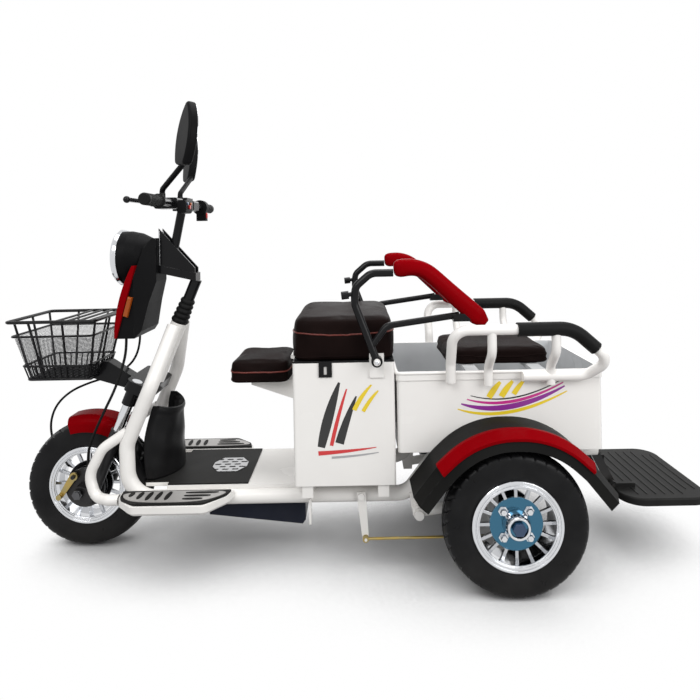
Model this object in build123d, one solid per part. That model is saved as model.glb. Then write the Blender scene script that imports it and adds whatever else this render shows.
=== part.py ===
from build123d import *
import math
import os

# Every size is in millimetres. +X runs to the rear, +Y to the rider's right and +Z up.
# The origin lies on the ground, at mid-length and on the centre plane.

# Shared clearances
GAP = 0.3
FIT = 0.05

# Wheels and tyres
TYRE_R = 187.0
TYRE_W = 78.0
TYRE_WALL = 9.0
RIM_R = 116.0
RIM_W = 72.0
RIM_LIP = 3.0
RIM_WALL = 5.0
BEAD_R = 102.0
HUB_R = 32.0
HUB_LENGTH = 80.0
HUB_DISC_R = 68.0
HUB_DISC_OUT = 15.0
HUB_DISC_T = 6.0
SPOKES = 16
SPOKE_W = 8.0
DRUM_R = 60.0
AXLE_R = 10.0
FRONT_AXLE_X = -808.0
WHEEL_BASE = 1219.0
REAR_AXLE_X = FRONT_AXLE_X + WHEEL_BASE
REAR_WHEEL_Y = 288.0
AXLE_Z = TYRE_R

# Steering axis, from the top of the head tube
RAKE = 23.0
HEAD_X = -533.0
HEAD_Z = 669.0
HEAD_LENGTH = 189.0
HEAD_R = 24.0
STEM_R = 17.0
LEG_AHEAD = 33.0
LEG_Y = 72.0
STANCHION_R = 15.0
SLIDER_R = 19.0
SLEEVE_R = 20.0
CROWN_T = 32.0
CROWN_LENGTH = 84.0
CROWN_HALF_W = 93.0
SLEEVE_LENGTH = 40.0
STANCHION_LENGTH = 250.0
SLIDER_TOP = -345.0
SLIDER_BOTTOM = -568.0
FORK_TRAVEL = 20.0
BOOT_LENGTH = 78.0
BOOT_RIBS = 5
BOOT_TOP_R = 19.5
BOOT_RIB = 3.5

# Frame tubes
TUBE_R = 21.0
TUBE_WALL = 2.0
RAIL_Y = 130.0
RAIL_Z = 190.0
MAIN_BENDS = [90, 70, 80, 60, 60]
LOOP_R = 14.5
LOOP_BENDS = [60, 55, 36, 20]

# Floor
FLOOR_REAR = -166.0
FLOOR_TOP = 222.0
SHEET = 2.0
MAT_T = 4.0
MAT_REAR = -305.0
MAT_HALF_W = 126.0
TONGUE_HALF_W = 106.0
TONGUE_FRONT = -605.0
TRAY_FRONT = -535.0
PLATE_T = 1.5

# Footrests
FOOT_FRONT = -655.0
FOOT_LENGTH = 316.0
FOOT_OUT = 243.0
FOOT_BOTTOM = 190.0
FOOT_T = 26.0
FOOT_PAD_T = 6.0

# Seat box, lid and cushions
SEAT_FRONT = -163.0
SEAT_LENGTH = 278.0
SEAT_HALF_W = 205.0
SEAT_BOTTOM = 246.0
SEAT_TOP = 581.0
SEAT_WALL = 3.0
LID_T = 5.0
CUSHION_H = 115.0
HINGE_R = 6.0
HINGE_PIN_R = 3.0
CHILD_FRONT = -360.0
CHILD_LENGTH = 178.0
CHILD_HALF_W = 115.0
CHILD_BOTTOM = 505.0
CHILD_H = 62.0

# Arm frames
ARM_Y = SEAT_HALF_W + 25.0
ARM_TUBE_R = 10.5
ARM_PIVOT_X = 67.0
ARM_PIVOT_Z = 590.0
ARM_PIN_R = 6.0
PAD_REAR_X = ARM_PIVOT_X + 295.0
PAD_REAR_Z = ARM_PIVOT_Z + 96.0
ARM_PAD_H = 54.0
ARM_PAD_W = 40.0

# Cargo box and side rails
CARGO_FRONT = 122.0
CARGO_LENGTH = 560.0
CARGO_HALF_W = 200.0
CARGO_BOTTOM = 331.0
CARGO_TOP = 552.0
CARGO_WALL = 3.0
CARGO_RIM = 24.0
CARGO_REAR = CARGO_FRONT + CARGO_LENGTH
RAIL_TUBE_R = 13.5
RAIL_OUT = ARM_Y + ARM_PAD_W / 2 + RAIL_TUBE_R + 2.5
RAIL_TOP_Z = 674.0
RAIL_LOW_Z = 538.0
RAIL_FRONT_X = 266.0
RAIL_BEND_X = 580.0
RAIL_DROP = 86.0
# Low rails take tighter bends
RAIL_EASE = min(1.0, (RAIL_TOP_Z - RAIL_LOW_Z) / 136.0)
RAIL_BENDS = [RAIL_EASE * bend for bend in (40, 42, 90, 34, 34)]
SLEEVE_T = 5.0
REAR_RAIL_Z = CARGO_BOTTOM - TUBE_R - GAP
BENCH_FRONT = 272.0
BENCH_LENGTH = 298.0
BENCH_HALF_W = 130.0
BENCH_H = 44.0

# Rear fenders
FENDER_R = 236.0
FENDER_T = 3.0
FENDER_OUT = 338.0
FENDER_SKIRT = 24.0
FENDER_EDGE = FENDER_OUT - 32.0
FENDER_DROP = 15.0
FENDER_LEAN = 4.0
BAND_T = 5.0
FENDER_TOP = 100.0
FENDER_SHOULDER = (196.0, 148.0)
FENDER_TIP = (258.0, 70.0)
FENDER_BENDS = [150, 240, 240, 150]

# Swing arm and rear axle
PIVOT_X = 177.0
PIVOT_Z = 156.0
PIVOT_PIN_R = 8.0
ARM_TUBE_Y = RAIL_Y + TUBE_R + 20.0
AXLE_TUBE_R = 27.0
AXLE_TUBE_HALF = 238.0
MOTOR_R = 75.0
MOTOR_W = 120.0
BUFFER_R = 20.0

# Rear footboard
BOARD_FRONT = 752.0
BOARD_LENGTH = 248.0
BOARD_HALF_W = 180.0
BOARD_T = 20.0
BOARD_TOP = 182.0
BOARD_PIVOT_X = 748.0
BOARD_PIVOT_Z = 190.0
BOARD_PIN_R = 5.0
BRACKET_Y = 95.0

# Brake relay under the frame
RELAY_X = 18.0
RELAY_Z = 196.0
RELAY_LENGTH = 115.0
RELAY_PIN_R = 6.0
ROD_R = 4.0
ROD_LENGTH = 366.0

# Handlebar and controls
BAR_X = -515.0
BAR_Z = 1031.0
BAR_R = 11.0
BAR_HALF = 318.0
GRIP_R = 16.0
GRIP_LENGTH = 104.0
PERCH_Y = 84.0
PERCH_W = 56.0
LEVER_PIVOT_X = -552.0
LEVER_PIVOT_Y = 128.0
LEVER_T = 10.0
LEVER_LENGTH = 172.0
LEVER_PIN_R = 4.0
PERCH_REAR = 18.0
CLUSTER_DEEP = 26.0
HORN_R = 6.0
HORN_TRAVEL = 2.5
HORN_PROUD = 4.0
HORN_DEPTH = 9.0
HORN_DROP = 12.0
MIRROR_H = 176.0
MIRROR_W = 104.0
MIRROR_T = 26.0
STEM_ROD_R = 8.0
MIRROR_BACK = 119.0
MIRROR_OUT = 142.0
MIRROR_UP = 162.7
MIRROR_TILT = 8.0
MIRROR_YAW = 35.0
MIRROR_RIGHT_SWING = 45.0
MIRROR_RIGHT_TURN = 20.0

# Front panel and headlight
PANEL_HALF_W = 85.0
PANEL_REAR = -585.0
PANEL_BOTTOM = 636.0
PANEL_TOP = 930.0
PANEL_FACE_TOP = 915.0
PANEL_LEAN = 78.0
PANEL_DEEP = 12.0
PANEL_FOOT_DEEP = 8.0
PANEL_SKIN_TOP = 850.0
PANEL_ROUND = 5.0
PANEL_BULGE = 22.0
PANEL_BULGE_Z = 785.0
PANEL_REAR_HALF_W = 45.0
SIGNAL_Z = 730.0
LAMP_X = -692.0
LAMP_Z = 872.0
LAMP_R = 80.0
LAMP_LIP = 9.0

# Beam that carries the handlebar column and the panel
BEAM_REAR_X = -472.0
BEAM_REAR_Z = 797.0
BEAM_T = 24.0
BEAM_SLOPE = math.tan(math.radians(13))
BEAM_FRONT_Z = BEAM_REAR_Z + (BEAM_REAR_X - PANEL_REAR) * BEAM_SLOPE
BEAM_HALF_W = 25.0
COLUMN_R = 13.0

# Front brake cam
CAM_X = FRONT_AXLE_X - 28
CAM_Z = AXLE_Z + 38
CAM_PIN_R = 6.0
CAM_Y = 60.0

# Cables on the fork
BRAKE_CORD_R = 4.0
BRAKE_CORD = [
    (-672, -62, PANEL_BOTTOM - GAP),
    (-672, -62, 596),
    (-684, -78, 538),
    (-696, -90, 480),
    (-716, -98, 425),
    (-742, -98, 370),
    (-768, -92, 325),
    (-786, -76, 290),
    (-786, -76, 254.3),
]
SPEED_CORD_R = 3.5
SPEED_CORD = [
    (-670, 40, PANEL_BOTTOM - GAP),
    (-670, 40, 598),
    (-694, 52, 542),
    (-738, 60, 506),
    (-792, 62, 486),
    (-848, 60, 470),
    (-904, 60, 446),
    (-950, 60, 404),
    (-970, 60, 350),
    (-966, 60, 296),
    (-944, 56, 248),
    (-905, 46.5, 205),
    (-864.3, 46.5, 205),
]

# Front fender
FRONT_FENDER_R = 212.0
FRONT_FENDER_HALF_W = 50.0
FRONT_FENDER_FROM = 62.0
FRONT_FENDER_TO = 105.0
FRONT_FENDER_SKIRT = 48.0
FRONT_FENDER_SKIN = 3.0
FRONT_FENDER_ROUND = (28.0, 24.0)

# Basket
BASKET_FRONT = -1000.0
BASKET_LENGTH = 265.0
BASKET_HALF_W = 128.0
BASKET_BOTTOM = 515.0
BASKET_TOP = 700.0
BASKET_TAPER = 42.0
BASKET_WALL = 2.5
BASKET_CORNER = 16.0
BASKET_HOOP = 8.0

SIN_RAKE = math.sin(math.radians(RAKE))
COS_RAKE = math.cos(math.radians(RAKE))
STEER = Plane(origin=(HEAD_X, 0, HEAD_Z), x_dir=(COS_RAKE, 0, -SIN_RAKE), z_dir=(SIN_RAKE, 0, COS_RAKE))
AXLE_DX = FRONT_AXLE_X - HEAD_X
AXLE_DZ = AXLE_Z - HEAD_Z
AXLE_SX = AXLE_DX * COS_RAKE - AXLE_DZ * SIN_RAKE
AXLE_SZ = AXLE_DX * SIN_RAKE + AXLE_DZ * COS_RAKE
CROWN_TOP = -HEAD_LENGTH - GAP


def run(points, bends):
    if len(points) == 2:
        return Line(*points)
    return FilletPolyline(*points, radius=bends)


def tube(points, bends, outer, wall):
    path = run(points, bends)
    ring = Circle(outer) - Circle(outer - wall)
    return sweep(Plane(origin=path @ 0, z_dir=path % 0) * ring, path=path)


def rod(points, bends, radius):
    path = run(points, bends)
    return sweep(Plane(origin=path @ 0, z_dir=path % 0) * Circle(radius), path=path)


def block(x0, x1, y0, y1, z0, z1):
    return Pos((x0 + x1) / 2, (y0 + y1) / 2, (z0 + z1) / 2) * Box(x1 - x0, y1 - y0, z1 - z0)


def side_plate(points, y0, y1):
    outline = make_face(Polyline(*points, close=True))
    return extrude(Plane.XZ.offset(-y1) * outline, y1 - y0)


def across(x, z, radius, y0, y1):
    return Pos(x, (y0 + y1) / 2, z) * Rot(90, 0, 0) * Cylinder(radius, y1 - y0)


def steer_block(x0, x1, half_y, z0, z1):
    return STEER * Pos((x0 + x1) / 2, 0, (z0 + z1) / 2) * Box(x1 - x0, 2 * half_y, z1 - z0)


def steer_rod(x, y, radius, z0, z1):
    return STEER * Pos(x, y, (z0 + z1) / 2) * Cylinder(radius, z1 - z0)


def other_side(shape):
    return mirror(shape, about=Plane.XZ)


def pair(shape):
    return [shape, other_side(shape)]


def pad_outline(length, width, corner, drawn):
    half_l, half_w = length / 2, width / 2
    sides = [
        ThreePointArc((-half_l, -half_w), (0, drawn - half_w), (half_l, -half_w)),
        ThreePointArc((half_l, -half_w), (half_l - drawn, 0), (half_l, half_w)),
        ThreePointArc((half_l, half_w), (0, half_w - drawn), (-half_l, half_w)),
        ThreePointArc((-half_l, half_w), (drawn - half_l, 0), (-half_l, -half_w)),
    ]
    face = make_face(sides)
    return fillet(face.vertices(), corner)


def cushion(x0, length, half_w, z0, height):
    corner = 26.0
    drawn = 4.0
    # Each layer: share of the height, and its inset as a share of the length
    layers = [(0.0, 0.02), (0.28, 0.0), (0.72, 0.0), (0.9, 0.024), (0.97, 0.07), (1.0, 0.18)]
    faces = []
    for share, inset_share in layers:
        inset = inset_share * length
        outline = pad_outline(length - 2 * inset, 2 * (half_w - inset), corner, drawn)
        faces.append(Pos(x0 + length / 2, 0, z0 + share * height) * outline)
    return loft(faces)


# Wheels


def rim(bore, drum):
    half = RIM_W / 2
    inner = BEAD_R - RIM_WALL
    section = make_face(
        Polyline(
            (inner, -half),
            (RIM_R, -half),
            (RIM_R, RIM_LIP - half),
            (BEAD_R, RIM_LIP - half),
            (BEAD_R, half - RIM_LIP),
            (RIM_R, half - RIM_LIP),
            (RIM_R, half),
            (inner, half),
            close=True,
        )
    )
    wheel = revolve(Plane.XZ * section, Axis.Z)
    wheel += Cylinder(HUB_R, HUB_LENGTH)
    wheel += Pos(0, 0, HUB_DISC_OUT) * Cylinder(HUB_DISC_R, HUB_DISC_T)
    reach = inner - HUB_DISC_R + 4
    for number in range(SPOKES):
        spoke = Pos(HUB_DISC_R + reach / 2 - 2, 0, HUB_DISC_OUT) * Box(reach, SPOKE_W, HUB_DISC_T + 2)
        wheel += Rot(0, 0, number * 360 / SPOKES) * spoke
    if drum:
        wheel += Pos(0, 0, HUB_LENGTH / 4) * Cylinder(DRUM_R, HUB_LENGTH / 2)
    wheel -= Cylinder(bore, 2 * HUB_LENGTH)
    return Rot(90, 0, 0) * wheel


def tyre():
    bead = RIM_W / 2 - RIM_LIP - GAP
    seat = BEAD_R + GAP
    wide = TYRE_W / 2
    neck = RIM_R + 2
    belly = (neck + TYRE_R) / 2
    shoulder = TYRE_R - 8
    outside = [
        Line((seat, -bead), (neck, -bead)),
        ThreePointArc((neck, -bead), (belly, -wide), (shoulder, -0.84 * wide)),
        ThreePointArc((shoulder, -0.84 * wide), (TYRE_R, 0), (shoulder, 0.84 * wide)),
        ThreePointArc((shoulder, 0.84 * wide), (belly, wide), (neck, bead)),
        Line((neck, bead), (seat, bead)),
        Line((seat, bead), (seat, -bead)),
    ]
    air_wide = wide - TYRE_WALL
    air_top = TYRE_R - 1.5 * TYRE_WALL
    inside = [
        Line((seat - 1, -air_wide), (belly, -air_wide)),
        ThreePointArc((belly, -air_wide), (air_top, 0), (belly, air_wide)),
        Line((belly, air_wide), (seat - 1, air_wide)),
        Line((seat - 1, air_wide), (seat - 1, -air_wide)),
    ]
    section = make_face(outside) - make_face(inside)
    return Rot(90, 0, 0) * revolve(Plane.XZ * section, Axis.Z)


def front_rim():
    return Pos(FRONT_AXLE_X, 0, AXLE_Z) * rim(AXLE_R + FIT, True)


def rear_place(shape):
    return Pos(REAR_AXLE_X, -REAR_WHEEL_Y, AXLE_Z) * shape


# Steered parts


def steering_stem():
    crown = extrude(RectangleRounded(CROWN_LENGTH, 2 * CROWN_HALF_W, 18), CROWN_T)
    crown = STEER * Pos(CROWN_LENGTH / 2 - LEG_AHEAD - 27, 0, CROWN_TOP - CROWN_T) * crown
    stem = steer_rod(0, 0, STEM_R, CROWN_TOP - 2, 200)
    body = crown + stem - beam_and_above()
    for side in (-1, 1):
        sleeve_top = CROWN_TOP - CROWN_T
        body += steer_rod(-LEG_AHEAD, side * LEG_Y, SLEEVE_R, sleeve_top - SLEEVE_LENGTH, sleeve_top)
        body -= steer_rod(-LEG_AHEAD, side * LEG_Y, STANCHION_R + FIT, -400, 0)
    return body


def stanchions():
    return [
        steer_rod(-LEG_AHEAD, side * LEG_Y, STANCHION_R, CROWN_TOP - STANCHION_LENGTH, CROWN_TOP)
        for side in (-1, 1)
    ]


def bellows():
    bottom = GAP
    bottom_r = HEAD_R
    pitch = BOOT_LENGTH / BOOT_RIBS
    points = [(STEM_R + GAP, bottom), (bottom_r, bottom)]
    for number in range(BOOT_RIBS):
        share = (number + 0.5) / BOOT_RIBS
        middle = bottom_r + (BOOT_TOP_R - bottom_r) * share
        base = bottom + number * pitch
        points.append((middle + BOOT_RIB, base + 0.35 * pitch))
        points.append((middle + BOOT_RIB, base + 0.6 * pitch))
        points.append((middle - 0.4 * BOOT_RIB, base + pitch))
    points.append((STEM_R + GAP, bottom + BOOT_LENGTH))
    section = make_face(Polyline(*points, close=True))
    return STEER * revolve(Plane.XZ * section, Axis.Z)


def beam_and_above():
    high = BEAM_REAR_Z + 200
    reach = 60
    low = BEAM_REAR_Z - reach * BEAM_SLOPE
    rear = BEAM_REAR_X + reach
    outline = [(PANEL_REAR, BEAM_FRONT_Z), (rear, low), (rear, high), (PANEL_REAR, high)]
    return side_plate(outline, -CROWN_HALF_W, CROWN_HALF_W)


def handlebar_column():
    front = PANEL_REAR + GAP
    beam = side_plate(
        [
            (front, BEAM_FRONT_Z),
            (BEAM_REAR_X, BEAM_REAR_Z),
            (BEAM_REAR_X, BEAM_REAR_Z + BEAM_T),
            (front, BEAM_FRONT_Z + BEAM_T),
        ],
        -BEAM_HALF_W,
        BEAM_HALF_W,
    )
    gusset = [
        (front, BEAM_FRONT_Z + BEAM_T - 2),
        (BEAM_REAR_X - 4, BEAM_REAR_Z + BEAM_T - 2),
        (BEAM_REAR_X - 4, BEAM_REAR_Z + BEAM_T + 16),
        (front, BEAM_FRONT_Z + BEAM_T + 112),
    ]
    foot_x = -556.0
    foot_z = BEAM_FRONT_Z + BEAM_T - 10
    column = rod([(foot_x, 0, foot_z), (BAR_X, 0, BAR_Z)], 0, COLUMN_R)
    clamp = Pos(BAR_X, 0, BAR_Z) * Box(44, 62, 40)
    body = beam + column + clamp
    for y in (-20.0, 15.0):
        body += side_plate(gusset, y, y + 5)
    return body - across(BAR_X, BAR_Z, BAR_R + FIT, -60, 60)


def handlebar():
    return across(BAR_X, BAR_Z, BAR_R, -BAR_HALF, BAR_HALF)


def grip(side):
    start = BAR_HALF + 2 - GRIP_LENGTH
    sleeve = across(BAR_X, BAR_Z, GRIP_R, start, BAR_HALF + 2)
    sleeve += across(BAR_X, BAR_Z, GRIP_R + 4, start, start + 5)
    sleeve -= across(BAR_X, BAR_Z, BAR_R + FIT, start - 1, BAR_HALF + GAP)
    return sleeve if side > 0 else other_side(sleeve)


def perch(side):
    y0, y1 = PERCH_Y - PERCH_W / 2, PERCH_Y + PERCH_W / 2
    front = LEVER_PIVOT_X - 12
    body = block(front, BAR_X + PERCH_REAR, y0, y1, BAR_Z - 16, BAR_Z + 16)
    body = fillet(body.edges().filter_by(Axis.Y), 6)
    ear_y = LEVER_PIVOT_Y + 12
    for z in (BAR_Z + LEVER_T / 2 + GAP, BAR_Z - LEVER_T / 2 - GAP - 5):
        body += block(front, LEVER_PIVOT_X + 14, y1 - 2, ear_y, z, z + 5)
    body += Pos(LEVER_PIVOT_X, LEVER_PIVOT_Y, BAR_Z) * Cylinder(LEVER_PIN_R, LEVER_T + 14)
    body += Pos(LEVER_PIVOT_X + 3, PERCH_Y, BAR_Z + 22) * Cylinder(9, 16)
    body -= Pos(LEVER_PIVOT_X + 3, PERCH_Y, BAR_Z + 29) * Cylinder(STEM_ROD_R + FIT, 20)
    body -= across(BAR_X, BAR_Z, BAR_R + FIT, y0 - 1, y1 + 1)
    return body if side > 0 else other_side(body)


def brake_lever(side):
    y0 = LEVER_PIVOT_Y
    x0 = LEVER_PIVOT_X
    outline = [
        (x0 - 9, y0 - 8),
        (x0 + 9, y0 - 8),
        (x0 + 8, y0 + 16),
        (x0 - 2, y0 + 40),
        (x0 - 8, y0 + LEVER_LENGTH),
        (x0 - 19, y0 + LEVER_LENGTH),
        (x0 - 15, y0 + 34),
    ]
    low = BAR_Z - LEVER_T / 2
    lever = extrude(Pos(0, 0, low) * make_face(Polyline(*outline, close=True)), LEVER_T)
    lever += Pos(x0 - 13, y0 + LEVER_LENGTH + 3, BAR_Z) * Sphere(9)
    lever -= Pos(x0, y0, BAR_Z) * Cylinder(LEVER_PIN_R + FIT, 40)
    return lever if side > 0 else other_side(lever)


def switch_cluster():
    y0, y1 = -PERCH_Y - PERCH_W / 2 - 2, -PERCH_Y + PERCH_W / 2
    front = BAR_X + PERCH_REAR + GAP
    body = block(front, cluster_face(), y0, y1, BAR_Z - 30, BAR_Z + 8)
    body = fillet(body.edges().filter_by(Axis.Y), 7)
    pocket = Cylinder(HORN_R + FIT, HORN_DEPTH)
    return body - horn_place(cluster_face() - HORN_DEPTH / 2) * pocket


def cluster_face():
    return BAR_X + PERCH_REAR + GAP + CLUSTER_DEEP


def horn_place(x):
    return Pos(x, -PERCH_Y, BAR_Z - HORN_DROP) * Rot(0, 90, 0)


def horn_button():
    back = cluster_face() - HORN_DEPTH + HORN_TRAVEL + GAP
    front = cluster_face() + HORN_PROUD
    return horn_place((front + back) / 2) * Cylinder(HORN_R, front - back)


def throttle_housing():
    start = BAR_HALF + 2 - GRIP_LENGTH - GAP
    ring = across(BAR_X, BAR_Z, 25, start - 30, start)
    ring += block(BAR_X - 12, BAR_X + 20, start - 28, start - 4, BAR_Z - 46, BAR_Z - 10)
    return ring - across(BAR_X, BAR_Z, BAR_R + FIT, start - 40, start + 1)


def mirror_unit(side):
    foot = Vector(LEVER_PIVOT_X + 3, PERCH_Y, BAR_Z + 19 + GAP)
    centre = foot + Vector(MIRROR_BACK, MIRROR_OUT, MIRROR_UP)
    top = centre - Vector(6, 21, 67)
    stem = rod([foot, foot + Vector(0, 0, 22), top], [14], STEM_ROD_R)
    half_w, half_h = MIRROR_W / 2, MIRROR_H / 2
    leaf = make_face(
        [
            ThreePointArc((-0.75 * half_w, -half_h), (-half_w, 0.1 * half_h), (0.05 * half_w, half_h)),
            ThreePointArc((0.05 * half_w, half_h), (0.95 * half_w, 0.15 * half_h), (0.6 * half_w, -half_h)),
            Line((0.6 * half_w, -half_h), (-0.75 * half_w, -half_h)),
        ]
    )
    leaf = fillet(leaf.vertices(), 16)
    head = extrude(Plane.YZ * leaf, MIRROR_T / 2, both=True)
    head = fillet(head.edges().filter_by(Plane.YZ), 8)
    yaw = MIRROR_RIGHT_TURN - MIRROR_YAW if side > 0 else -MIRROR_YAW
    unit = stem + Pos(*centre) * Rot(0, MIRROR_TILT, 0) * Rot(0, 0, yaw) * head
    if side < 0:
        return other_side(unit)
    # The right mirror is set further forward than the left one
    return Pos(*foot) * Rot(0, 0, MIRROR_RIGHT_SWING) * Pos(*(-foot)) * unit


def panel_face_x(z):
    low_x = PANEL_REAR - 105
    return low_x + PANEL_LEAN * (z - PANEL_BOTTOM) / (PANEL_FACE_TOP - PANEL_BOTTOM)


def panel_inner():
    shelf = PANEL_TOP - 30
    outline = [
        (PANEL_REAR, PANEL_TOP),
        (PANEL_REAR, 800),
        (PANEL_REAR - 20, 735),
        (PANEL_REAR - 38, 655),
        (PANEL_REAR - 54, PANEL_BOTTOM),
        (panel_face_x(PANEL_BOTTOM), PANEL_BOTTOM),
        (panel_face_x(shelf), shelf),
        (PANEL_REAR - 10, PANEL_TOP),
    ]
    body = side_plate(outline, -PANEL_HALF_W, PANEL_HALF_W)
    # The sides draw in towards the column
    wedge = Polyline(
        (PANEL_REAR - 55, PANEL_HALF_W),
        (PANEL_REAR + 1, PANEL_REAR_HALF_W),
        (PANEL_REAR + 1, PANEL_HALF_W + 1),
        (PANEL_REAR - 55, PANEL_HALF_W + 1),
        close=True,
    )
    cut = Pos(0, 0, PANEL_BOTTOM - 1) * extrude(make_face(wedge), PANEL_TOP - PANEL_BOTTOM + 2)
    return body - cut - other_side(cut)


def panel_front_arc(ahead):
    z0, z1 = PANEL_BOTTOM + 2, PANEL_SKIN_TOP + ahead
    foot = (panel_face_x(z0) - PANEL_FOOT_DEEP - ahead, z0)
    middle = (panel_face_x(PANEL_BULGE_Z) - PANEL_BULGE - ahead, PANEL_BULGE_Z)
    top = (panel_face_x(z1) - PANEL_DEEP - ahead, z1)
    return foot, middle, top


def front_panel():
    foot, middle, top = panel_front_arc(0)
    z0, z1 = foot[1], top[1]
    back = [top, (panel_face_x(z1) - 0.2, z1), (panel_face_x(z0) - 0.2, z0), foot]
    profile = make_face([ThreePointArc(foot, middle, top), Polyline(*back)])
    width = PANEL_HALF_W + 8
    skin = extrude(Plane.XZ * profile, width, both=True)
    return fillet(skin.edges().filter_by(GeomType.CIRCLE), PANEL_ROUND)


def lamp_place():
    return Pos(LAMP_X, 0, LAMP_Z) * Rot(0, 90, 0)


def lamp_bowl():
    points = [(0, 0), (LAMP_R, 0), (LAMP_R, 22), (0.92 * LAMP_R, 52), (0.72 * LAMP_R, 84), (0, 100)]
    section = make_face(Polyline(*points, close=True))
    bowl = lamp_place() * revolve(Plane.XZ * section, Axis.Z)
    hollow = lamp_place() * Pos(0, 0, 13) * Cylinder(LAMP_R - 14, 30)
    foot, middle, top = panel_front_arc(GAP)
    high = PANEL_TOP + 60
    low = PANEL_BOTTOM - 20
    back = [
        top,
        (panel_face_x(top[1]) - GAP, top[1]),
        (panel_face_x(high) - GAP, high),
        (PANEL_REAR + 60, high),
        (PANEL_REAR + 60, low),
        (foot[0], low),
        foot,
    ]
    profile = make_face([ThreePointArc(foot, middle, top), Polyline(*back)])
    return bowl - hollow - extrude(Plane.XZ * profile, 2 * LAMP_R, both=True)


def lamp_ring():
    edge = LAMP_R - LAMP_LIP
    points = [(edge, 0), (LAMP_R + 4, 0), (LAMP_R + 6, -9), (LAMP_R, -17), (edge, -14)]
    section = make_face(Polyline(*points, close=True))
    return lamp_place() * revolve(Plane.XZ * section, Axis.Z)


def lamp_lens():
    edge = LAMP_R - LAMP_LIP - GAP
    points = [(0, -2), (edge, -2), (edge, -8), (0.8 * edge, -13), (0.5 * edge, -17), (0, -19)]
    section = make_face(Polyline(*points, close=True))
    return lamp_place() * revolve(Plane.XZ * section, Axis.Z)


def signal_lenses():
    x = panel_face_x(SIGNAL_Z) + 9
    lean = math.degrees(math.atan2(PANEL_LEAN, PANEL_FACE_TOP - PANEL_BOTTOM))
    lens = block(-7, 7, PANEL_HALF_W, PANEL_HALF_W + 11, -30, 30)
    lens = fillet(lens.faces().sort_by(Axis.Y)[-1].edges(), 5)
    return pair(Pos(x, 0, SIGNAL_Z) * Rot(0, lean, 0) * lens)


def basket_layer(z, grow):
    share = (BASKET_TOP - z) / (BASKET_TOP - BASKET_BOTTOM)
    inset = BASKET_TAPER * share - grow
    size = (BASKET_LENGTH - 2 * inset, 2 * (BASKET_HALF_W - inset))
    return Pos(BASKET_FRONT + BASKET_LENGTH / 2, 0, z) * RectangleRounded(*size, BASKET_CORNER)


def basket():
    wall = BASKET_WALL
    tub = loft([basket_layer(BASKET_BOTTOM, -wall), basket_layer(BASKET_TOP, -wall)])
    tub -= loft([basket_layer(BASKET_BOTTOM + wall, -2 * wall), basket_layer(BASKET_TOP + 1, -2 * wall)])
    for z in (BASKET_BOTTOM + 8, BASKET_BOTTOM + 52, BASKET_BOTTOM + 102, BASKET_TOP):
        hoop = basket_layer(z, 0) - basket_layer(z, -1.5 * wall)
        tub += Pos(0, 0, -BASKET_HOOP) * extrude(hoop, BASKET_HOOP)
    return tub


def basket_arm():
    low_x = HEAD_X - 128
    arm = side_plate(
        [
            (low_x + 30, 470),
            (low_x, 502),
            (-744, 556),
            (-790, 556),
            (-800, BASKET_BOTTOM - 6),
            (-772, BASKET_BOTTOM - 16),
            (low_x + 10, 462),
        ],
        -21,
        21,
    )
    # The hoops stand out from the tapered wall below them
    clear = 2 * GAP + BASKET_HOOP * BASKET_TAPER / (BASKET_TOP - BASKET_BOTTOM)
    arm -= loft([basket_layer(BASKET_BOTTOM - GAP, clear), basket_layer(BASKET_TOP, clear)])
    arm += block(BASKET_FRONT + 60, -780, -60, 60, BASKET_BOTTOM - 4, BASKET_BOTTOM)
    crown = steer_block(-LEG_AHEAD - 27 - GAP, 40, 120, CROWN_TOP - CROWN_T - GAP, CROWN_TOP + GAP + 40)
    return arm - crown


# Cables on the fork, as straight runs joined by tangent arcs


def cord_path(points):
    vectors = [Vector(*point) for point in points]
    radii = []
    for before, here, after in zip(vectors, vectors[1:], vectors[2:]):
        run_in, run_out = here - before, after - here
        turn = math.radians(run_in.get_angle(run_out))
        radii.append(0.45 * min(run_in.length, run_out.length) / math.tan(turn / 2))
    return FilletPolyline(*points, radius=radii)


def control_cables():
    cords = []
    for name, points, radius in (("brake", BRAKE_CORD, BRAKE_CORD_R), ("speed", SPEED_CORD, SPEED_CORD_R)):
        path = cord_path(points)
        cord = sweep(Plane(origin=path @ 0, z_dir=path % 0) * Circle(radius), path=path)
        share = cord.volume / (math.pi * radius**2 * path.length)
        print(name, "cord length", round(path.length), "volume share", round(share, 4))
        cords.append(cord)
    return cords


# Parts that slide with the front suspension


def fork_sliders():
    legs = []
    for side in (-1, 1):
        leg = steer_rod(-LEG_AHEAD, side * LEG_Y, SLIDER_R, SLIDER_BOTTOM, SLIDER_TOP)
        lug = steer_block(AXLE_SX, -LEG_AHEAD, SLIDER_R, AXLE_SZ - 20, AXLE_SZ + 20)
        leg += STEER * Pos(0, side * LEG_Y, 0) * STEER.to_local_coords(lug)
        leg += across(FRONT_AXLE_X, AXLE_Z, 20, side * LEG_Y - SLIDER_R, side * LEG_Y + SLIDER_R)
        deep = CROWN_TOP - STANCHION_LENGTH - FORK_TRAVEL - 6
        leg -= steer_rod(-LEG_AHEAD, side * LEG_Y, STANCHION_R + FIT, deep, SLIDER_TOP + 1)
        leg -= across(FRONT_AXLE_X, AXLE_Z, AXLE_R + FIT, side * LEG_Y - 40, side * LEG_Y + 40)
        legs.append(leg)
    return legs


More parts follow.
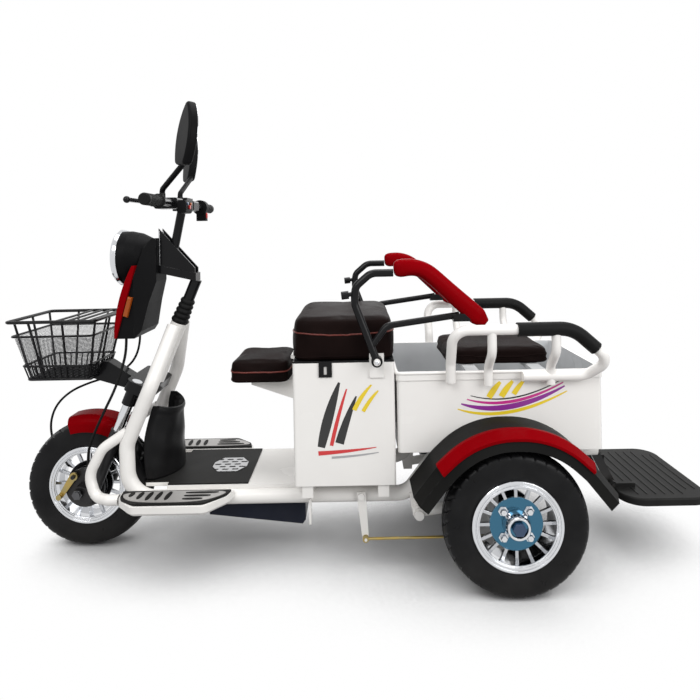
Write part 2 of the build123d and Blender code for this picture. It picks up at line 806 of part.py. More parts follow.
def front_axle():
    end = LEG_Y + SLIDER_R
    axle = across(FRONT_AXLE_X, AXLE_Z, AXLE_R, -end - 16, end + 16)
    for side in (-1, 1):
        nut = Pos(FRONT_AXLE_X, side * (end + 6 + GAP), AXLE_Z) * Rot(90, 0, 0)
        axle += nut * extrude(RegularPolygon(15, 6), 6, both=True)
    inner = HUB_LENGTH / 2 + 1
    drive = across(FRONT_AXLE_X, AXLE_Z, 34, inner, LEG_Y - SLIDER_R - GAP)
    drive += block(FRONT_AXLE_X - 56, FRONT_AXLE_X, inner, inner + 11, AXLE_Z + 12, AXLE_Z + 24)
    return axle + drive


def brake_plate():
    inner = HUB_LENGTH / 2 + 1
    outer = LEG_Y - SLIDER_R - GAP
    plate = across(FRONT_AXLE_X, AXLE_Z, DRUM_R - 2, -outer, -inner)
    plate += block(FRONT_AXLE_X + 14, FRONT_AXLE_X + 30, -84, -inner, AXLE_Z + 51, AXLE_Z + 67)
    plate += block(FRONT_AXLE_X + 14, FRONT_AXLE_X + 30, -outer, -inner, AXLE_Z + 40, AXLE_Z + 60)
    plate -= across(FRONT_AXLE_X, AXLE_Z, AXLE_R + FIT, -100, 0)
    plate += across(CAM_X, CAM_Z, CAM_PIN_R, -CAM_Y - 12, -inner)
    return plate


def brake_arm():
    y0, y1 = -CAM_Y - 6, -CAM_Y
    outline = [
        (CAM_X - 8, CAM_Z + 9),
        (CAM_X + 9, CAM_Z - 4),
        (CAM_X - 34, CAM_Z - 62),
        (CAM_X - 45, CAM_Z - 54),
    ]
    arm = side_plate(outline, y0, y1)
    arm += across(CAM_X, CAM_Z, 12, y0, y1)
    arm += across(CAM_X - 40, CAM_Z - 57, 8, y0 - 10, y1)
    return arm - across(CAM_X, CAM_Z, CAM_PIN_R + FIT, -100, 0)


def fender_section(inset, low):
    wide = FRONT_FENDER_HALF_W - inset
    high = FRONT_FENDER_R - inset
    round_wide, round_high = FRONT_FENDER_ROUND
    shoulder = FRONT_FENDER_R - round_high
    bend = round_wide - inset
    part = 1 - math.sqrt(0.5)
    middle = (wide - bend * part, high - round_high * part)
    return make_face(
        [
            Line((-wide, low), (-wide, shoulder)),
            ThreePointArc((-wide, shoulder), (-middle[0], middle[1]), (bend - wide, high)),
            Line((bend - wide, high), (wide - bend, high)),
            ThreePointArc((wide - bend, high), middle, (wide, shoulder)),
            Line((wide, shoulder), (wide, low)),
            Line((wide, low), (-wide, low)),
        ]
    )


def front_fender():
    low = FRONT_FENDER_R - FRONT_FENDER_SKIRT
    face = fender_section(0, low) - fender_section(FRONT_FENDER_SKIN, low - 1)
    # The section lies in the plane of the axle and is turned about it
    start = Plane(origin=(0, 0, 0), x_dir=(0, 1, 0), z_dir=(1, 0, 0)) * face
    arch = revolve(start, Axis.Y, FRONT_FENDER_TO - FRONT_FENDER_FROM)
    arch = Pos(FRONT_AXLE_X, 0, AXLE_Z) * Rot(0, 90 - FRONT_FENDER_TO, 0) * arch
    stay_y = LEG_Y - SLIDER_R - GAP
    for side in (-1, 1):
        y0, y1 = sorted((side * (FRONT_FENDER_HALF_W - 1), side * stay_y))
        arch += block(FRONT_AXLE_X + 76, FRONT_AXLE_X + 100, y0, y1, AXLE_Z + 160, AXLE_Z + 182)
    return arch


# Frame


def main_tube_points():
    top_y = -(HEAD_R + TUBE_R - 1.7)
    return [
        (HEAD_X - 2, top_y, HEAD_Z - 6),
        (HEAD_X - 48, -RAIL_Y + 7, HEAD_Z - 168),
        (HEAD_X - 118, -RAIL_Y + 6, HEAD_Z - 330),
        (HEAD_X - 112, -RAIL_Y, RAIL_Z),
        (PIVOT_X - 27, -RAIL_Y, RAIL_Z),
        (PIVOT_X + 66, -RAIL_Y, REAR_RAIL_Z),
        (CARGO_REAR + 8, -RAIL_Y, REAR_RAIL_Z),
    ]


def main_tube():
    return tube(main_tube_points(), MAIN_BENDS, TUBE_R, TUBE_WALL)


def head_tube():
    body = steer_rod(0, 0, HEAD_R, -HEAD_LENGTH, 0)
    return body - steer_rod(0, 0, STEM_R + FIT, -HEAD_LENGTH - 1, 1)


def guard_loop():
    points = [
        (-648, -RAIL_Y + 6, 378),
        (-716, -136, 334),
        (-752, -142, 262),
        (-730, -152, 203),
        (FOOT_FRONT - 30, -172, FOOT_BOTTOM + 14),
        (FOOT_FRONT - GAP, -172, FOOT_BOTTOM + 14),
    ]
    loop = tube(points, LOOP_BENDS, LOOP_R, TUBE_WALL)
    return loop - rod(main_tube_points(), MAIN_BENDS, TUBE_R + GAP)


def cross_members():
    under = RAIL_Z + TUBE_R + GAP
    inside = RAIL_Y - TUBE_R - GAP
    reach = SEAT_HALF_W - 6
    seat_rear = SEAT_FRONT + SEAT_LENGTH
    return [
        block(SEAT_FRONT + 20, SEAT_FRONT + 50, -reach, reach, under, SEAT_BOTTOM),
        block(seat_rear - 50, seat_rear - 20, -reach, reach, under, SEAT_BOTTOM),
        across(TRAY_FRONT + 25, RAIL_Z, 12, -inside, inside),
        block(CARGO_REAR - 26, CARGO_REAR, -inside, inside, REAR_RAIL_Z - 14, REAR_RAIL_Z + 16),
        block(CARGO_FRONT + 130, CARGO_FRONT + 156, -inside, inside, REAR_RAIL_Z - 12, REAR_RAIL_Z + 16),
    ]


def swing_brackets():
    y0 = RAIL_Y + TUBE_R + GAP
    y1 = y0 + 5
    top = RAIL_Z + 10
    low = PIVOT_Z - 18
    outline = [(PIVOT_X - 24, top), (PIVOT_X + 20, top), (PIVOT_X + 14, low), (PIVOT_X - 14, low)]
    plate = side_plate(outline, -y1, -y0)
    plate += across(PIVOT_X, PIVOT_Z, PIVOT_PIN_R, -y1 - 37, -y0)
    plate += across(PIVOT_X, PIVOT_Z, PIVOT_PIN_R + 5, -y1 - 42, -y1 - 36)
    return pair(plate)


def floor_panel():
    low = RAIL_Z + TUBE_R + GAP
    half = RAIL_Y + 1

    def tray(x0, x1, half_w):
        outer = block(x0, x1, -half_w, half_w, low, FLOOR_TOP)
        inside = half_w - SHEET
        return outer - block(x0 + SHEET, x1 - SHEET, -inside, inside, low - 1, FLOOR_TOP - SHEET)

    return tray(TRAY_FRONT, FLOOR_REAR, half) + tray(TONGUE_FRONT, TRAY_FRONT + SHEET, TONGUE_HALF_W)


def floor_mat():
    top = FLOOR_TOP + MAT_T
    mat = block(TRAY_FRONT, MAT_REAR, -MAT_HALF_W, MAT_HALF_W, FLOOR_TOP, top)
    return mat + block(TONGUE_FRONT, TRAY_FRONT, -TONGUE_HALF_W, TONGUE_HALF_W, FLOOR_TOP, top)


def grip_plate():
    z = FLOOR_TOP + MAT_T
    middle = -382.0
    outline = [(-52, -16), (-30, -50), (30, -50), (52, -16), (52, 16), (30, 50), (-30, 50), (-52, 16)]
    plate = Pos(middle, 0, z) * extrude(make_face(Polyline(*outline, close=True)), PLATE_T)
    for row in range(-2, 3):
        for column in range(-1, 2):
            shift = 9 if row % 2 else -9
            hole = Pos(middle + 30 * column + shift, 18 * row, z) * extrude(SlotOverall(20, 9), 2 * PLATE_T)
            if abs(30 * column + shift) < 42 or abs(row) < 2:
                plate -= hole
    return plate


def foot_outline(inset):
    inner = RAIL_Y + TUBE_R + GAP + inset
    outer = FOOT_OUT - inset
    front = FOOT_FRONT + inset
    rear = FOOT_FRONT + FOOT_LENGTH - inset
    points = [
        (front, -inner),
        (rear, -inner),
        (rear - 8, -inner - 30),
        (rear - 60, -outer),
        (front + 56, -outer),
        (front + 6, -inner - 44),
    ]
    outline = make_face(Polyline(*points, close=True))
    corners = outline.vertices().sort_by(Axis.Y)[:4]
    return fillet(corners, 30)


def footrests():
    shell = extrude(Pos(0, 0, FOOT_BOTTOM) * foot_outline(0), FOOT_T)
    shell = chamfer(shell.faces().sort_by(Axis.Z)[0].edges(), 8)
    shell -= extrude(Pos(0, 0, FOOT_BOTTOM + 12) * foot_outline(5), FOOT_T - 16)
    return pair(shell)


def footrest_pads():
    return pair(extrude(Pos(0, 0, FOOT_BOTTOM + FOOT_T) * foot_outline(7), FOOT_PAD_T))


def shroud():
    base = FLOOR_TOP + MAT_T
    # Each level: height, half width, front edge and rear reach
    levels = [(base, 104.0, -602.0, -523.0), (330.0, 106.0, -610.0, -524.0), (452.0, 74.0, -584.0, -524.0)]

    def section(z, half_w, front, rear, skin, ahead):
        half_w, rear, front = half_w - skin, rear - skin, front - ahead
        arc = ThreePointArc((front + 20, -half_w), (rear, 0), (front + 20, half_w))
        lines = Polyline((front + 20, half_w), (front, half_w), (front, -half_w), (front + 20, -half_w))
        return Pos(0, 0, z) * make_face([arc, lines])

    outer = loft([section(*level, 0, 0) for level in levels])
    inner_levels = [(base - 1,) + levels[0][1:], levels[1], (levels[2][0] - 4,) + levels[2][1:]]
    shell = outer - loft([section(*level, 3, 10) for level in inner_levels])
    # Room for the crown, which swings over the top edge
    swing = math.hypot(CROWN_LENGTH - LEG_AHEAD - 27, CROWN_HALF_W) + 3
    return shell - steer_rod(0, 0, swing, CROWN_TOP - CROWN_T - 3, 0)


def controller_housing():
    half = RAIL_Y - TUBE_R - GAP
    top = RAIL_Z + TUBE_R
    outline = [(-421, top), (-421, 128), (-152, 96), (-143, 108), (-143, top)]
    return side_plate(outline, -half, half)


# Seat box, lid and cushions


def seat_box():
    rear = SEAT_FRONT + SEAT_LENGTH
    body = block(SEAT_FRONT, rear, -SEAT_HALF_W, SEAT_HALF_W, SEAT_BOTTOM, SEAT_TOP)
    body = fillet(body.edges().filter_by(Axis.Z), 8)
    inside = SEAT_HALF_W - SEAT_WALL
    floor = SEAT_BOTTOM + SEAT_WALL
    body -= block(SEAT_FRONT + SEAT_WALL, rear - SEAT_WALL, -inside, inside, floor, SEAT_TOP + 1)
    hinge_x, hinge_z = hinge_place()
    body += across(hinge_x, hinge_z, HINGE_PIN_R, -130, 130)
    for y in (-130.0, 70.0):
        body += across(hinge_x, hinge_z, HINGE_R, y, y + 60)
        body += block(SEAT_FRONT - 4, SEAT_FRONT, y, y + 60, SEAT_TOP - 24, SEAT_TOP)
    for side in (-1, 1):
        y0, y1 = sorted((side * SEAT_HALF_W, side * (SEAT_HALF_W + 5)))
        body += block(ARM_PIVOT_X - 20, ARM_PIVOT_X + 20, y0, y1, ARM_PIVOT_Z - 50, ARM_PIVOT_Z + 16)
        y0, y1 = sorted((side * (SEAT_HALF_W + 1), side * (ARM_Y + ARM_TUBE_R + 2)))
        body += across(ARM_PIVOT_X, ARM_PIVOT_Z, ARM_PIN_R, y0, y1)
        y0, y1 = sorted((side * (ARM_Y + ARM_TUBE_R + 1), side * (ARM_Y + ARM_TUBE_R + 8)))
        body += across(ARM_PIVOT_X, ARM_PIVOT_Z, 9, y0, y1)
        y0, y1 = sorted((side * (SEAT_HALF_W + 4), side * (ARM_Y - ARM_TUBE_R - 1)))
        body += across(ARM_PIVOT_X, ARM_PIVOT_Z, 10, y0, y1)
    for y in (-72.0, 68.0):
        body += side_plate(
            [
                (SEAT_FRONT, CHILD_BOTTOM - GAP),
                (SEAT_FRONT, CHILD_BOTTOM - 62),
                (CHILD_FRONT + 60, CHILD_BOTTOM - 14),
                (CHILD_FRONT + 60, CHILD_BOTTOM - GAP),
            ],
            y,
            y + 4,
        )
    return body


def hinge_place():
    return SEAT_FRONT - HINGE_R - 1, SEAT_TOP + 3


def seat_lid():
    rear = SEAT_FRONT + SEAT_LENGTH
    z0 = SEAT_TOP + GAP
    half = SEAT_HALF_W - 2
    lid = block(SEAT_FRONT + 1, rear, -half, half, z0, z0 + LID_T)
    hinge_x, hinge_z = hinge_place()
    length = 69.0
    lid += across(hinge_x, hinge_z, HINGE_R, -length, length)
    lid += block(hinge_x, SEAT_FRONT + 2, -length, length, z0 + 1, z0 + LID_T)
    lid -= across(hinge_x, hinge_z, HINGE_PIN_R + FIT, -140, 140)
    hasp_x = -73.0
    lid += block(hasp_x - 18, hasp_x + 18, -SEAT_HALF_W - 4, -half + 1, z0, z0 + LID_T)
    hasp = block(hasp_x - 18, hasp_x + 18, -SEAT_HALF_W - 4, -SEAT_HALF_W - 1, z0 - 38, z0 + LID_T)
    hasp -= Pos(hasp_x, -SEAT_HALF_W, z0 - 20) * Box(8, 20, 22)
    return lid + hasp


def seat_cushion():
    bottom = SEAT_TOP + LID_T + 2 * GAP
    return cushion(SEAT_FRONT - 5, SEAT_LENGTH + 9, SEAT_HALF_W - 2, bottom, CUSHION_H)


def child_cushion():
    return cushion(CHILD_FRONT, CHILD_LENGTH, CHILD_HALF_W, CHILD_BOTTOM, CHILD_H)


def battery():
    z0 = SEAT_BOTTOM + SEAT_WALL
    body = block(SEAT_FRONT + 20, SEAT_FRONT + 200, -130, 130, z0, z0 + 190)
    return fillet(body.edges().filter_by(Axis.Z), 6)


def arm_frame():
    x0, z0 = ARM_PIVOT_X, ARM_PIVOT_Z
    pad_front = x0 + 48
    upright = rod(
        [
            (x0, -ARM_Y, z0),
            (x0 - 57, -ARM_Y, z0 + 156),
            (x0 - 54, -ARM_Y, z0 + 200),
            (x0 - 12, -ARM_Y, z0 + 236),
            (pad_front, -ARM_Y, z0 + 236),
        ],
        [60, 30, 40],
        ARM_TUBE_R,
    )
    brace = rod(
        [(x0 - 10, -ARM_Y, z0 + 44), (x0 + 28, -ARM_Y, z0 + 94), (x0 + 222, -ARM_Y, z0 + 120)],
        [26],
        ARM_TUBE_R - 1.5,
    )
    frame = upright + brace
    frame += across(x0, z0, 15, -ARM_Y - ARM_TUBE_R, -ARM_Y + ARM_TUBE_R)
    frame += block(x0 + 205, x0 + 250, -ARM_Y - 14, -ARM_Y + 14, z0 + 104, z0 + 124)
    stub = Pos(x0 - 82, -ARM_Y, z0 + 178) * Rot(0, 84, 0) * Cylinder(11, 20)
    frame += stub + rod([(x0 - 84, -ARM_Y, z0 + 178), (x0 - 52, -ARM_Y, z0 + 182)], 0, 6)
    return frame - across(x0, z0, ARM_PIN_R + FIT, -ARM_Y - 40, -ARM_Y + 40)


def arm_pad():
    x0, z0 = ARM_PIVOT_X, ARM_PIVOT_Z
    front = (x0 + 48 + GAP, -ARM_Y, z0 + 250)
    path = FilletPolyline(front, (x0 + 122, -ARM_Y, z0 + 250), (PAD_REAR_X, -ARM_Y, PAD_REAR_Z), radius=100)
    start = Plane(origin=path @ 0, x_dir=(0, 1, 0), z_dir=path % 0)
    pad = sweep(start * RectangleRounded(ARM_PAD_W, ARM_PAD_H, 0.4 * ARM_PAD_W), path=path)
    # Notch for the brace's end plate
    return pad - block(x0 + 180, x0 + 272, -ARM_Y - 15, -ARM_Y + 15, z0 + 90, z0 + 131)


# Cargo box, rails, fenders and footboard


def cargo_box():
    outer = block(CARGO_FRONT, CARGO_REAR, -CARGO_HALF_W, CARGO_HALF_W, CARGO_BOTTOM, CARGO_TOP)
    outer = fillet(outer.edges().filter_by(Axis.Z), 10)
    rim_band = block(
        CARGO_FRONT - 3, CARGO_REAR + 3, -CARGO_HALF_W - 3, CARGO_HALF_W + 3, CARGO_TOP - CARGO_RIM, CARGO_TOP
    )
    rim_band = fillet(rim_band.edges().filter_by(Axis.Z), 13)
    inside = CARGO_HALF_W - CARGO_WALL
    hollow = block(
        CARGO_FRONT + CARGO_WALL,
        CARGO_REAR - CARGO_WALL,
        -inside,
        inside,
        CARGO_BOTTOM + CARGO_WALL,
        CARGO_TOP + 1,
    )
    box = outer + rim_band - fillet(hollow.edges().filter_by(Axis.Z), 7)
    for x in (BENCH_FRONT + 40, BENCH_FRONT + BENCH_LENGTH - 76):
        box += block(x, x + 36, -inside - 1, inside + 1, CARGO_TOP - 12, CARGO_TOP - GAP)
    return box


def rail_foot_y():
    return CARGO_HALF_W + 3 + RAIL_TUBE_R + GAP


def rail_points():
    foot = rail_foot_y()
    return [
        (RAIL_FRONT_X, -foot, RAIL_LOW_Z - 12),
        (RAIL_FRONT_X, -foot - 4, RAIL_LOW_Z + 40),
        (RAIL_FRONT_X, -RAIL_OUT, RAIL_TOP_Z),
        (RAIL_BEND_X, -RAIL_OUT, RAIL_TOP_Z),
        (CARGO_REAR - 6, -RAIL_OUT, RAIL_TOP_Z - RAIL_DROP),
        (CARGO_REAR - 52, -foot, RAIL_LOW_Z),
        (RAIL_BEND_X - 120, -foot, RAIL_LOW_Z),
    ]


def side_rail():
    foot = rail_foot_y()
    rail = rod(rail_points(), RAIL_BENDS, RAIL_TUBE_R)
    for x in (RAIL_FRONT_X + 102, RAIL_FRONT_X + 270):
        points = [
            (x, -RAIL_OUT, RAIL_TOP_Z),
            (x, -RAIL_OUT, RAIL_TOP_Z - 60 * RAIL_EASE),
            (x, -foot, RAIL_LOW_Z + 26),
            (x, -foot, RAIL_LOW_Z - 22),
        ]
        rail += rod(points, [40 * RAIL_EASE, 40 * RAIL_EASE], RAIL_TUBE_R - 1.5)
    return rail


def rail_sleeve():
    run_x = CARGO_REAR - 6 - RAIL_BEND_X
    points = [
        (RAIL_FRONT_X + 168, -RAIL_OUT, RAIL_TOP_Z),
        (RAIL_BEND_X, -RAIL_OUT, RAIL_TOP_Z),
        (RAIL_BEND_X + 0.62 * run_x, -RAIL_OUT, RAIL_TOP_Z - 0.62 * RAIL_DROP),
    ]
    path = FilletPolyline(*points, radius=RAIL_BENDS[2])
    ring = Circle(RAIL_TUBE_R + SLEEVE_T) - Circle(RAIL_TUBE_R + GAP)
    foam = sweep(Plane(origin=path @ 0, z_dir=path % 0) * ring, path=path)
    post = (RAIL_FRONT_X + 270, -RAIL_OUT, RAIL_TOP_Z)
    return foam - rod([post, (post[0], post[1], post[2] - 40)], 0, RAIL_TUBE_R - 1.5 + GAP)


def bench_cushion():
    return cushion(BENCH_FRONT, BENCH_LENGTH, BENCH_HALF_W, CARGO_TOP, BENCH_H)


def fender_sweep(ends, bends, section):
    line = ends + [(FENDER_TOP, FENDER_R)]
    line = [(-x, z) for x, z in line] + line[::-1]
    inner_y = CARGO_HALF_W + GAP
    path = FilletPolyline(*[(REAR_AXLE_X + x, -inner_y, AXLE_Z + z) for x, z in line], radius=bends)
    face = make_face(Polyline(*[(inner_y - y, rise) for y, rise in section], close=True))
    return sweep(Plane(origin=path @ 0, x_dir=(0, 1, 0), z_dir=path % 0) * face, path=path)


def fender():
    inner_y = CARGO_HALF_W + GAP
    lip_y = FENDER_OUT + FENDER_LEAN
    low = -FENDER_DROP - FENDER_SKIRT
    section = [
        (inner_y, 0),
        (inner_y, FENDER_T),
        (FENDER_EDGE, FENDER_T),
        (FENDER_OUT, FENDER_T - FENDER_DROP),
        (lip_y, low),
        (lip_y - FENDER_T, low),
        (FENDER_OUT - FENDER_T, -FENDER_DROP),
        (FENDER_EDGE - FENDER_T, 0),
    ]
    return fender_sweep([FENDER_TIP, FENDER_SHOULDER], FENDER_BENDS, section)


def fender_band():
    low = FENDER_T - FENDER_DROP
    section = [
        (FENDER_EDGE - 6, FENDER_T + GAP),
        (FENDER_EDGE - 6, FENDER_T + BAND_T),
        (FENDER_EDGE + 6, FENDER_T + BAND_T),
        (FENDER_OUT + BAND_T, low + BAND_T),
        (FENDER_OUT + BAND_T, low - 2),
        (FENDER_OUT + GAP, low + GAP),
        (FENDER_EDGE + GAP, FENDER_T + GAP),
    ]
    return fender_sweep([FENDER_SHOULDER], FENDER_BENDS[1:3], section)


def footboard_bracket():
    inside = RAIL_Y - TUBE_R - GAP
    x0 = CARGO_REAR
    arms = []
    for side in (-1, 1):
        y0, y1 = sorted((side * BRACKET_Y, side * (BRACKET_Y - 8)))
        plate = side_plate(
            [
                (x0, REAR_RAIL_Z + 12),
                (x0 + 14, REAR_RAIL_Z + 12),
                (BOARD_PIVOT_X + 10, BOARD_PIVOT_Z + 8),
                (BOARD_PIVOT_X + 8, BOARD_PIVOT_Z - 10),
                (BOARD_PIVOT_X - 10, BOARD_PIVOT_Z - 10),
                (x0, REAR_RAIL_Z - 14),
            ],
            y0,
            y1,
        )
        p0, p1 = sorted((side * (BRACKET_Y - 8), side * (BRACKET_Y + 18)))
        plate += across(BOARD_PIVOT_X, BOARD_PIVOT_Z, BOARD_PIN_R, p0, p1)
        arms.append(plate)
    return arms


def footboard():
    middle = BOARD_FRONT + BOARD_LENGTH / 2
    outline = RectangleRounded(BOARD_LENGTH, 2 * BOARD_HALF_W, 60)
    board = Pos(middle, 0, BOARD_TOP - BOARD_T) * extrude(outline, BOARD_T)
    board = fillet(board.faces().sort_by(Axis.Z)[-1].edges(), 5)
    for side in (-1, 1):
        y0, y1 = sorted((side * (BRACKET_Y + GAP), side * (BRACKET_Y + 14)))
        board += across(BOARD_PIVOT_X, BOARD_PIVOT_Z, 11, y0, y1)
        board += block(BOARD_PIVOT_X, BOARD_FRONT + 60, y0, y1, BOARD_TOP - 12, BOARD_PIVOT_Z + 5)
        board -= across(BOARD_PIVOT_X, BOARD_PIVOT_Z, BOARD_PIN_R + FIT, y0 - 2, y1 + 2)
        c0, c1 = sorted((side * (BRACKET_Y + GAP), side * (BRACKET_Y - 9)))
        board -= across(BOARD_PIVOT_X, BOARD_PIVOT_Z, 34, c0, c1)
    return board


# Rear axle and brake linkage


def rear_axle():
    body = across(REAR_AXLE_X, AXLE_Z, AXLE_TUBE_R, -AXLE_TUBE_HALF, AXLE_TUBE_HALF)
    body += across(REAR_AXLE_X, AXLE_Z, MOTOR_R, -MOTOR_W / 2, MOTOR_W / 2)
    hub_in = REAR_WHEEL_Y - HUB_LENGTH / 2
    hub_out = REAR_WHEEL_Y + HUB_LENGTH / 2
    body += across(REAR_AXLE_X, AXLE_Z, AXLE_R, -hub_out - 10, hub_out + 10)
    bracket_y = RAIL_Y + TUBE_R + GAP + 5 + GAP
    for side in (-1, 1):
        y0, y1 = sorted((side * AXLE_TUBE_HALF, side * (hub_in - 1)))
        body += across(REAR_AXLE_X, AXLE_Z, DRUM_R, y0, y1)
        y0, y1 = sorted((side * (hub_out + GAP), side * (hub_out + 10)))
        body += across(REAR_AXLE_X, AXLE_Z, 14, y0, y1)
        body += rod([(PIVOT_X, side * ARM_TUBE_Y, PIVOT_Z), (REAR_AXLE_X, side * ARM_TUBE_Y, AXLE_Z)], 0, 14)
        y0, y1 = sorted((side * bracket_y, side * (bracket_y + 30)))
        body += across(PIVOT_X, PIVOT_Z, 16, y0, y1)
        body -= across(PIVOT_X, PIVOT_Z, PIVOT_PIN_R + FIT, -300, 300)
        seat_z = AXLE_Z + AXLE_TUBE_R
        body += Pos(REAR_AXLE_X, side * RAIL_Y, seat_z - 3) * Cylinder(BUFFER_R + 4, 12)
    rod_side = relay_y() - 5 - GAP - 10 - GAP
    low = RELAY_Z - RELAY_LENGTH
    tail_x = RELAY_X + 11 + ROD_LENGTH
    body += side_plate(
        [(tail_x - 4, AXLE_Z - 6), (tail_x + 20, AXLE_Z - 6), (tail_x + 6, low - 8), (tail_x - 10, low - 8)],
        rod_side - 5,
        rod_side,
    )
    return body


def rear_buffers():
    z0 = AXLE_Z + AXLE_TUBE_R + 3
    z1 = REAR_RAIL_Z - TUBE_R - GAP
    block_solid = Pos(REAR_AXLE_X, -RAIL_Y, (z0 + z1) / 2) * Cylinder(BUFFER_R, z1 - z0)
    groove = Pos(REAR_AXLE_X, -RAIL_Y, (z0 + z1) / 2) * Torus(BUFFER_R + 3, 6)
    return pair(block_solid - groove)


def relay_bracket():
    y0 = RAIL_Y + TUBE_R + GAP
    boss = across(RELAY_X, RELAY_Z, 10, -y0 - 6, -y0)
    boss += across(RELAY_X, RELAY_Z, RELAY_PIN_R, -y0 - 16, -y0)
    boss += across(RELAY_X, RELAY_Z, 10, -y0 - 16, -y0 - 11 - 2 * GAP)
    stop_x = -124.0
    stop = block(stop_x - 3, stop_x + 3, -y0 - 26, -y0, 128, RAIL_Z + 8)
    return [boss, stop]


def relay_y():
    return -(RAIL_Y + TUBE_R + GAP + 6 + GAP)


def relay_arm():
    y1 = relay_y()
    y0 = y1 - 5
    low = RELAY_Z - RELAY_LENGTH
    arm = side_plate(
        [
            (RELAY_X - 13, RELAY_Z + 12),
            (RELAY_X + 13, RELAY_Z + 12),
            (RELAY_X + 20, low - 8),
            (RELAY_X + 2, low - 8),
        ],
        y0,
        y1,
    )
    arm += across(RELAY_X + 11, low, ROD_R, y0 - 14, y0 + 1)
    return arm - across(RELAY_X, RELAY_Z, RELAY_PIN_R + FIT, y0 - 1, y1 + 1)


def brake_rod():
    y1 = relay_y() - 5 - GAP
    y0 = y1 - 10
    x0, z0 = RELAY_X + 11, RELAY_Z - RELAY_LENGTH
    middle = (y0 + y1) / 2
    bar = rod([(x0, middle, z0), (x0 + ROD_LENGTH, middle, z0 + 2)], 0, ROD_R)
    bar += across(x0, z0, 9, y0, y1)
    return bar - across(x0, z0, ROD_R + FIT, y0 - 1, y1 + 1)


def build():
    return {
        "main_tubes": pair(main_tube()),
        "head_tube": head_tube(),
        "guard_loops": pair(guard_loop()),
        "frame_brackets": cross_members() + swing_brackets() + footboard_bracket() + relay_bracket(),
        "floor_panel": floor_panel(),
        "floor_mats": [floor_mat()] + footrest_pads(),
        "grip_plate": grip_plate(),
        "footrests": footrests(),
        "shroud": shroud(),
        "controller_housing": controller_housing(),
        "seat_box": seat_box(),
        "battery": battery(),
        "child_cushion": child_cushion(),
        "cargo_box": cargo_box(),
        "side_rails": pair(side_rail()),
        "rail_sleeves": pair(rail_sleeve()),
        "bench_cushion": bench_cushion(),
        "fenders": pair(fender()),
        "fender_bands": pair(fender_band()),
        "steering_stem": [steering_stem(), basket_arm()],
        "stanchions": stanchions(),
        "bellows": bellows(),
        "handlebar": [handlebar(), handlebar_column()],
        "grip_left": grip(-1),
        "lever_perches": [perch(-1), perch(1)],
        "switch_housings": [switch_cluster(), throttle_housing()],
        "front_panel": front_panel(),
        "panel_inner": [panel_inner(), lamp_bowl()],
        "signal_lenses": signal_lenses(),
        "headlight_ring": lamp_ring(),
        "headlight_lens": lamp_lens(),
        "basket": basket(),
        "control_cables": control_cables(),
        "fork_sliders": fork_sliders() + [brake_plate()],
        "front_axle": front_axle(),
        "front_fender": front_fender(),
        "brake_arm": brake_arm(),
        "front_rim": front_rim(),
        "front_tyre": Pos(FRONT_AXLE_X, 0, AXLE_Z) * tyre(),
        "rear_axle": rear_axle(),
        "rear_buffers": rear_buffers(),
        "rear_rim_left": rear_place(rim(AXLE_R + FIT, False)),
        "rear_rim_right": other_side(rear_place(rim(AXLE_R + FIT, False))),
        "rear_tyre_left": rear_place(tyre()),
        "rear_tyre_right": other_side(rear_place(tyre())),
        "throttle_grip": grip(1),
        "brake_lever_left": brake_lever(-1),
        "brake_lever_right": brake_lever(1),
        "horn_button": horn_button(),
        "mirror_left": mirror_unit(-1),
        "mirror_right": mirror_unit(1),
        "seat_lid": seat_lid(),
        "seat_cushion": seat_cushion(),
        "arm_frame_left": arm_frame(),
        "arm_frame_right": other_side(arm_frame()),
        "arm_pad_left": arm_pad(),
        "arm_pad_right": other_side(arm_pad()),
        "footboard": footboard(),
        "relay_arm": relay_arm(),
        "brake_rod": brake_rod(),
    }


os.makedirs("parts", exist_ok=True)
for name, shape in build().items():
    solid = Compound(children=shape) if isinstance(shape, list) else shape
    export_step(solid, os.path.join("parts", name + ".step"))
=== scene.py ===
import math

import bmesh
import bpy
from mathutils import Matrix, Vector
from mathutils.bvhtree import BVHTree


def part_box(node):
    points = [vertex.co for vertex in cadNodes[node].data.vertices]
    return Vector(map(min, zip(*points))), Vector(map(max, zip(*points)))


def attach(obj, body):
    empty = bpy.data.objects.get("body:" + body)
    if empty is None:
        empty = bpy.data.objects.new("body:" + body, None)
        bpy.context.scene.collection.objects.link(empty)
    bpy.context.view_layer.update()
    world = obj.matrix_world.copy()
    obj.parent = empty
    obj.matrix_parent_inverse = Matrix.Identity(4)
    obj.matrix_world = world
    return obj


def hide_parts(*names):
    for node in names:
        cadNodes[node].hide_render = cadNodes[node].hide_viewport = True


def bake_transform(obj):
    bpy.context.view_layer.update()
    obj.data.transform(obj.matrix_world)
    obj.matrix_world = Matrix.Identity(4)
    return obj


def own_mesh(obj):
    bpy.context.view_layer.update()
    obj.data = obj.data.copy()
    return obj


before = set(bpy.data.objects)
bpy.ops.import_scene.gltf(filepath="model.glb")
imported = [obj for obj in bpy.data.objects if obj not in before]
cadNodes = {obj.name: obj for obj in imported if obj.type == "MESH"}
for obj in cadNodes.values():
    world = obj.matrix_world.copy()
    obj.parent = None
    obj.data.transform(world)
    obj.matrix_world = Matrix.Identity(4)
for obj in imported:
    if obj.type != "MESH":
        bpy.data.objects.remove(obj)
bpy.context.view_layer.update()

scene = bpy.context.scene
sideSigns = {"Left": -1, "Right": 1}
print("frame loaded with", len(cadNodes), "nodes")

# camera, level with the handlebar and looking straight across
cameraLook = {
    "place": (0.015, -1.73, 0.937), "lens": 28.8, "sensor": 36.0, "roll": -1.1,
    "shiftX": -0.0071, "shiftY": -0.1686,
}


def turned(degrees, axis):
    return Matrix.Rotation(math.radians(degrees), 4, axis)


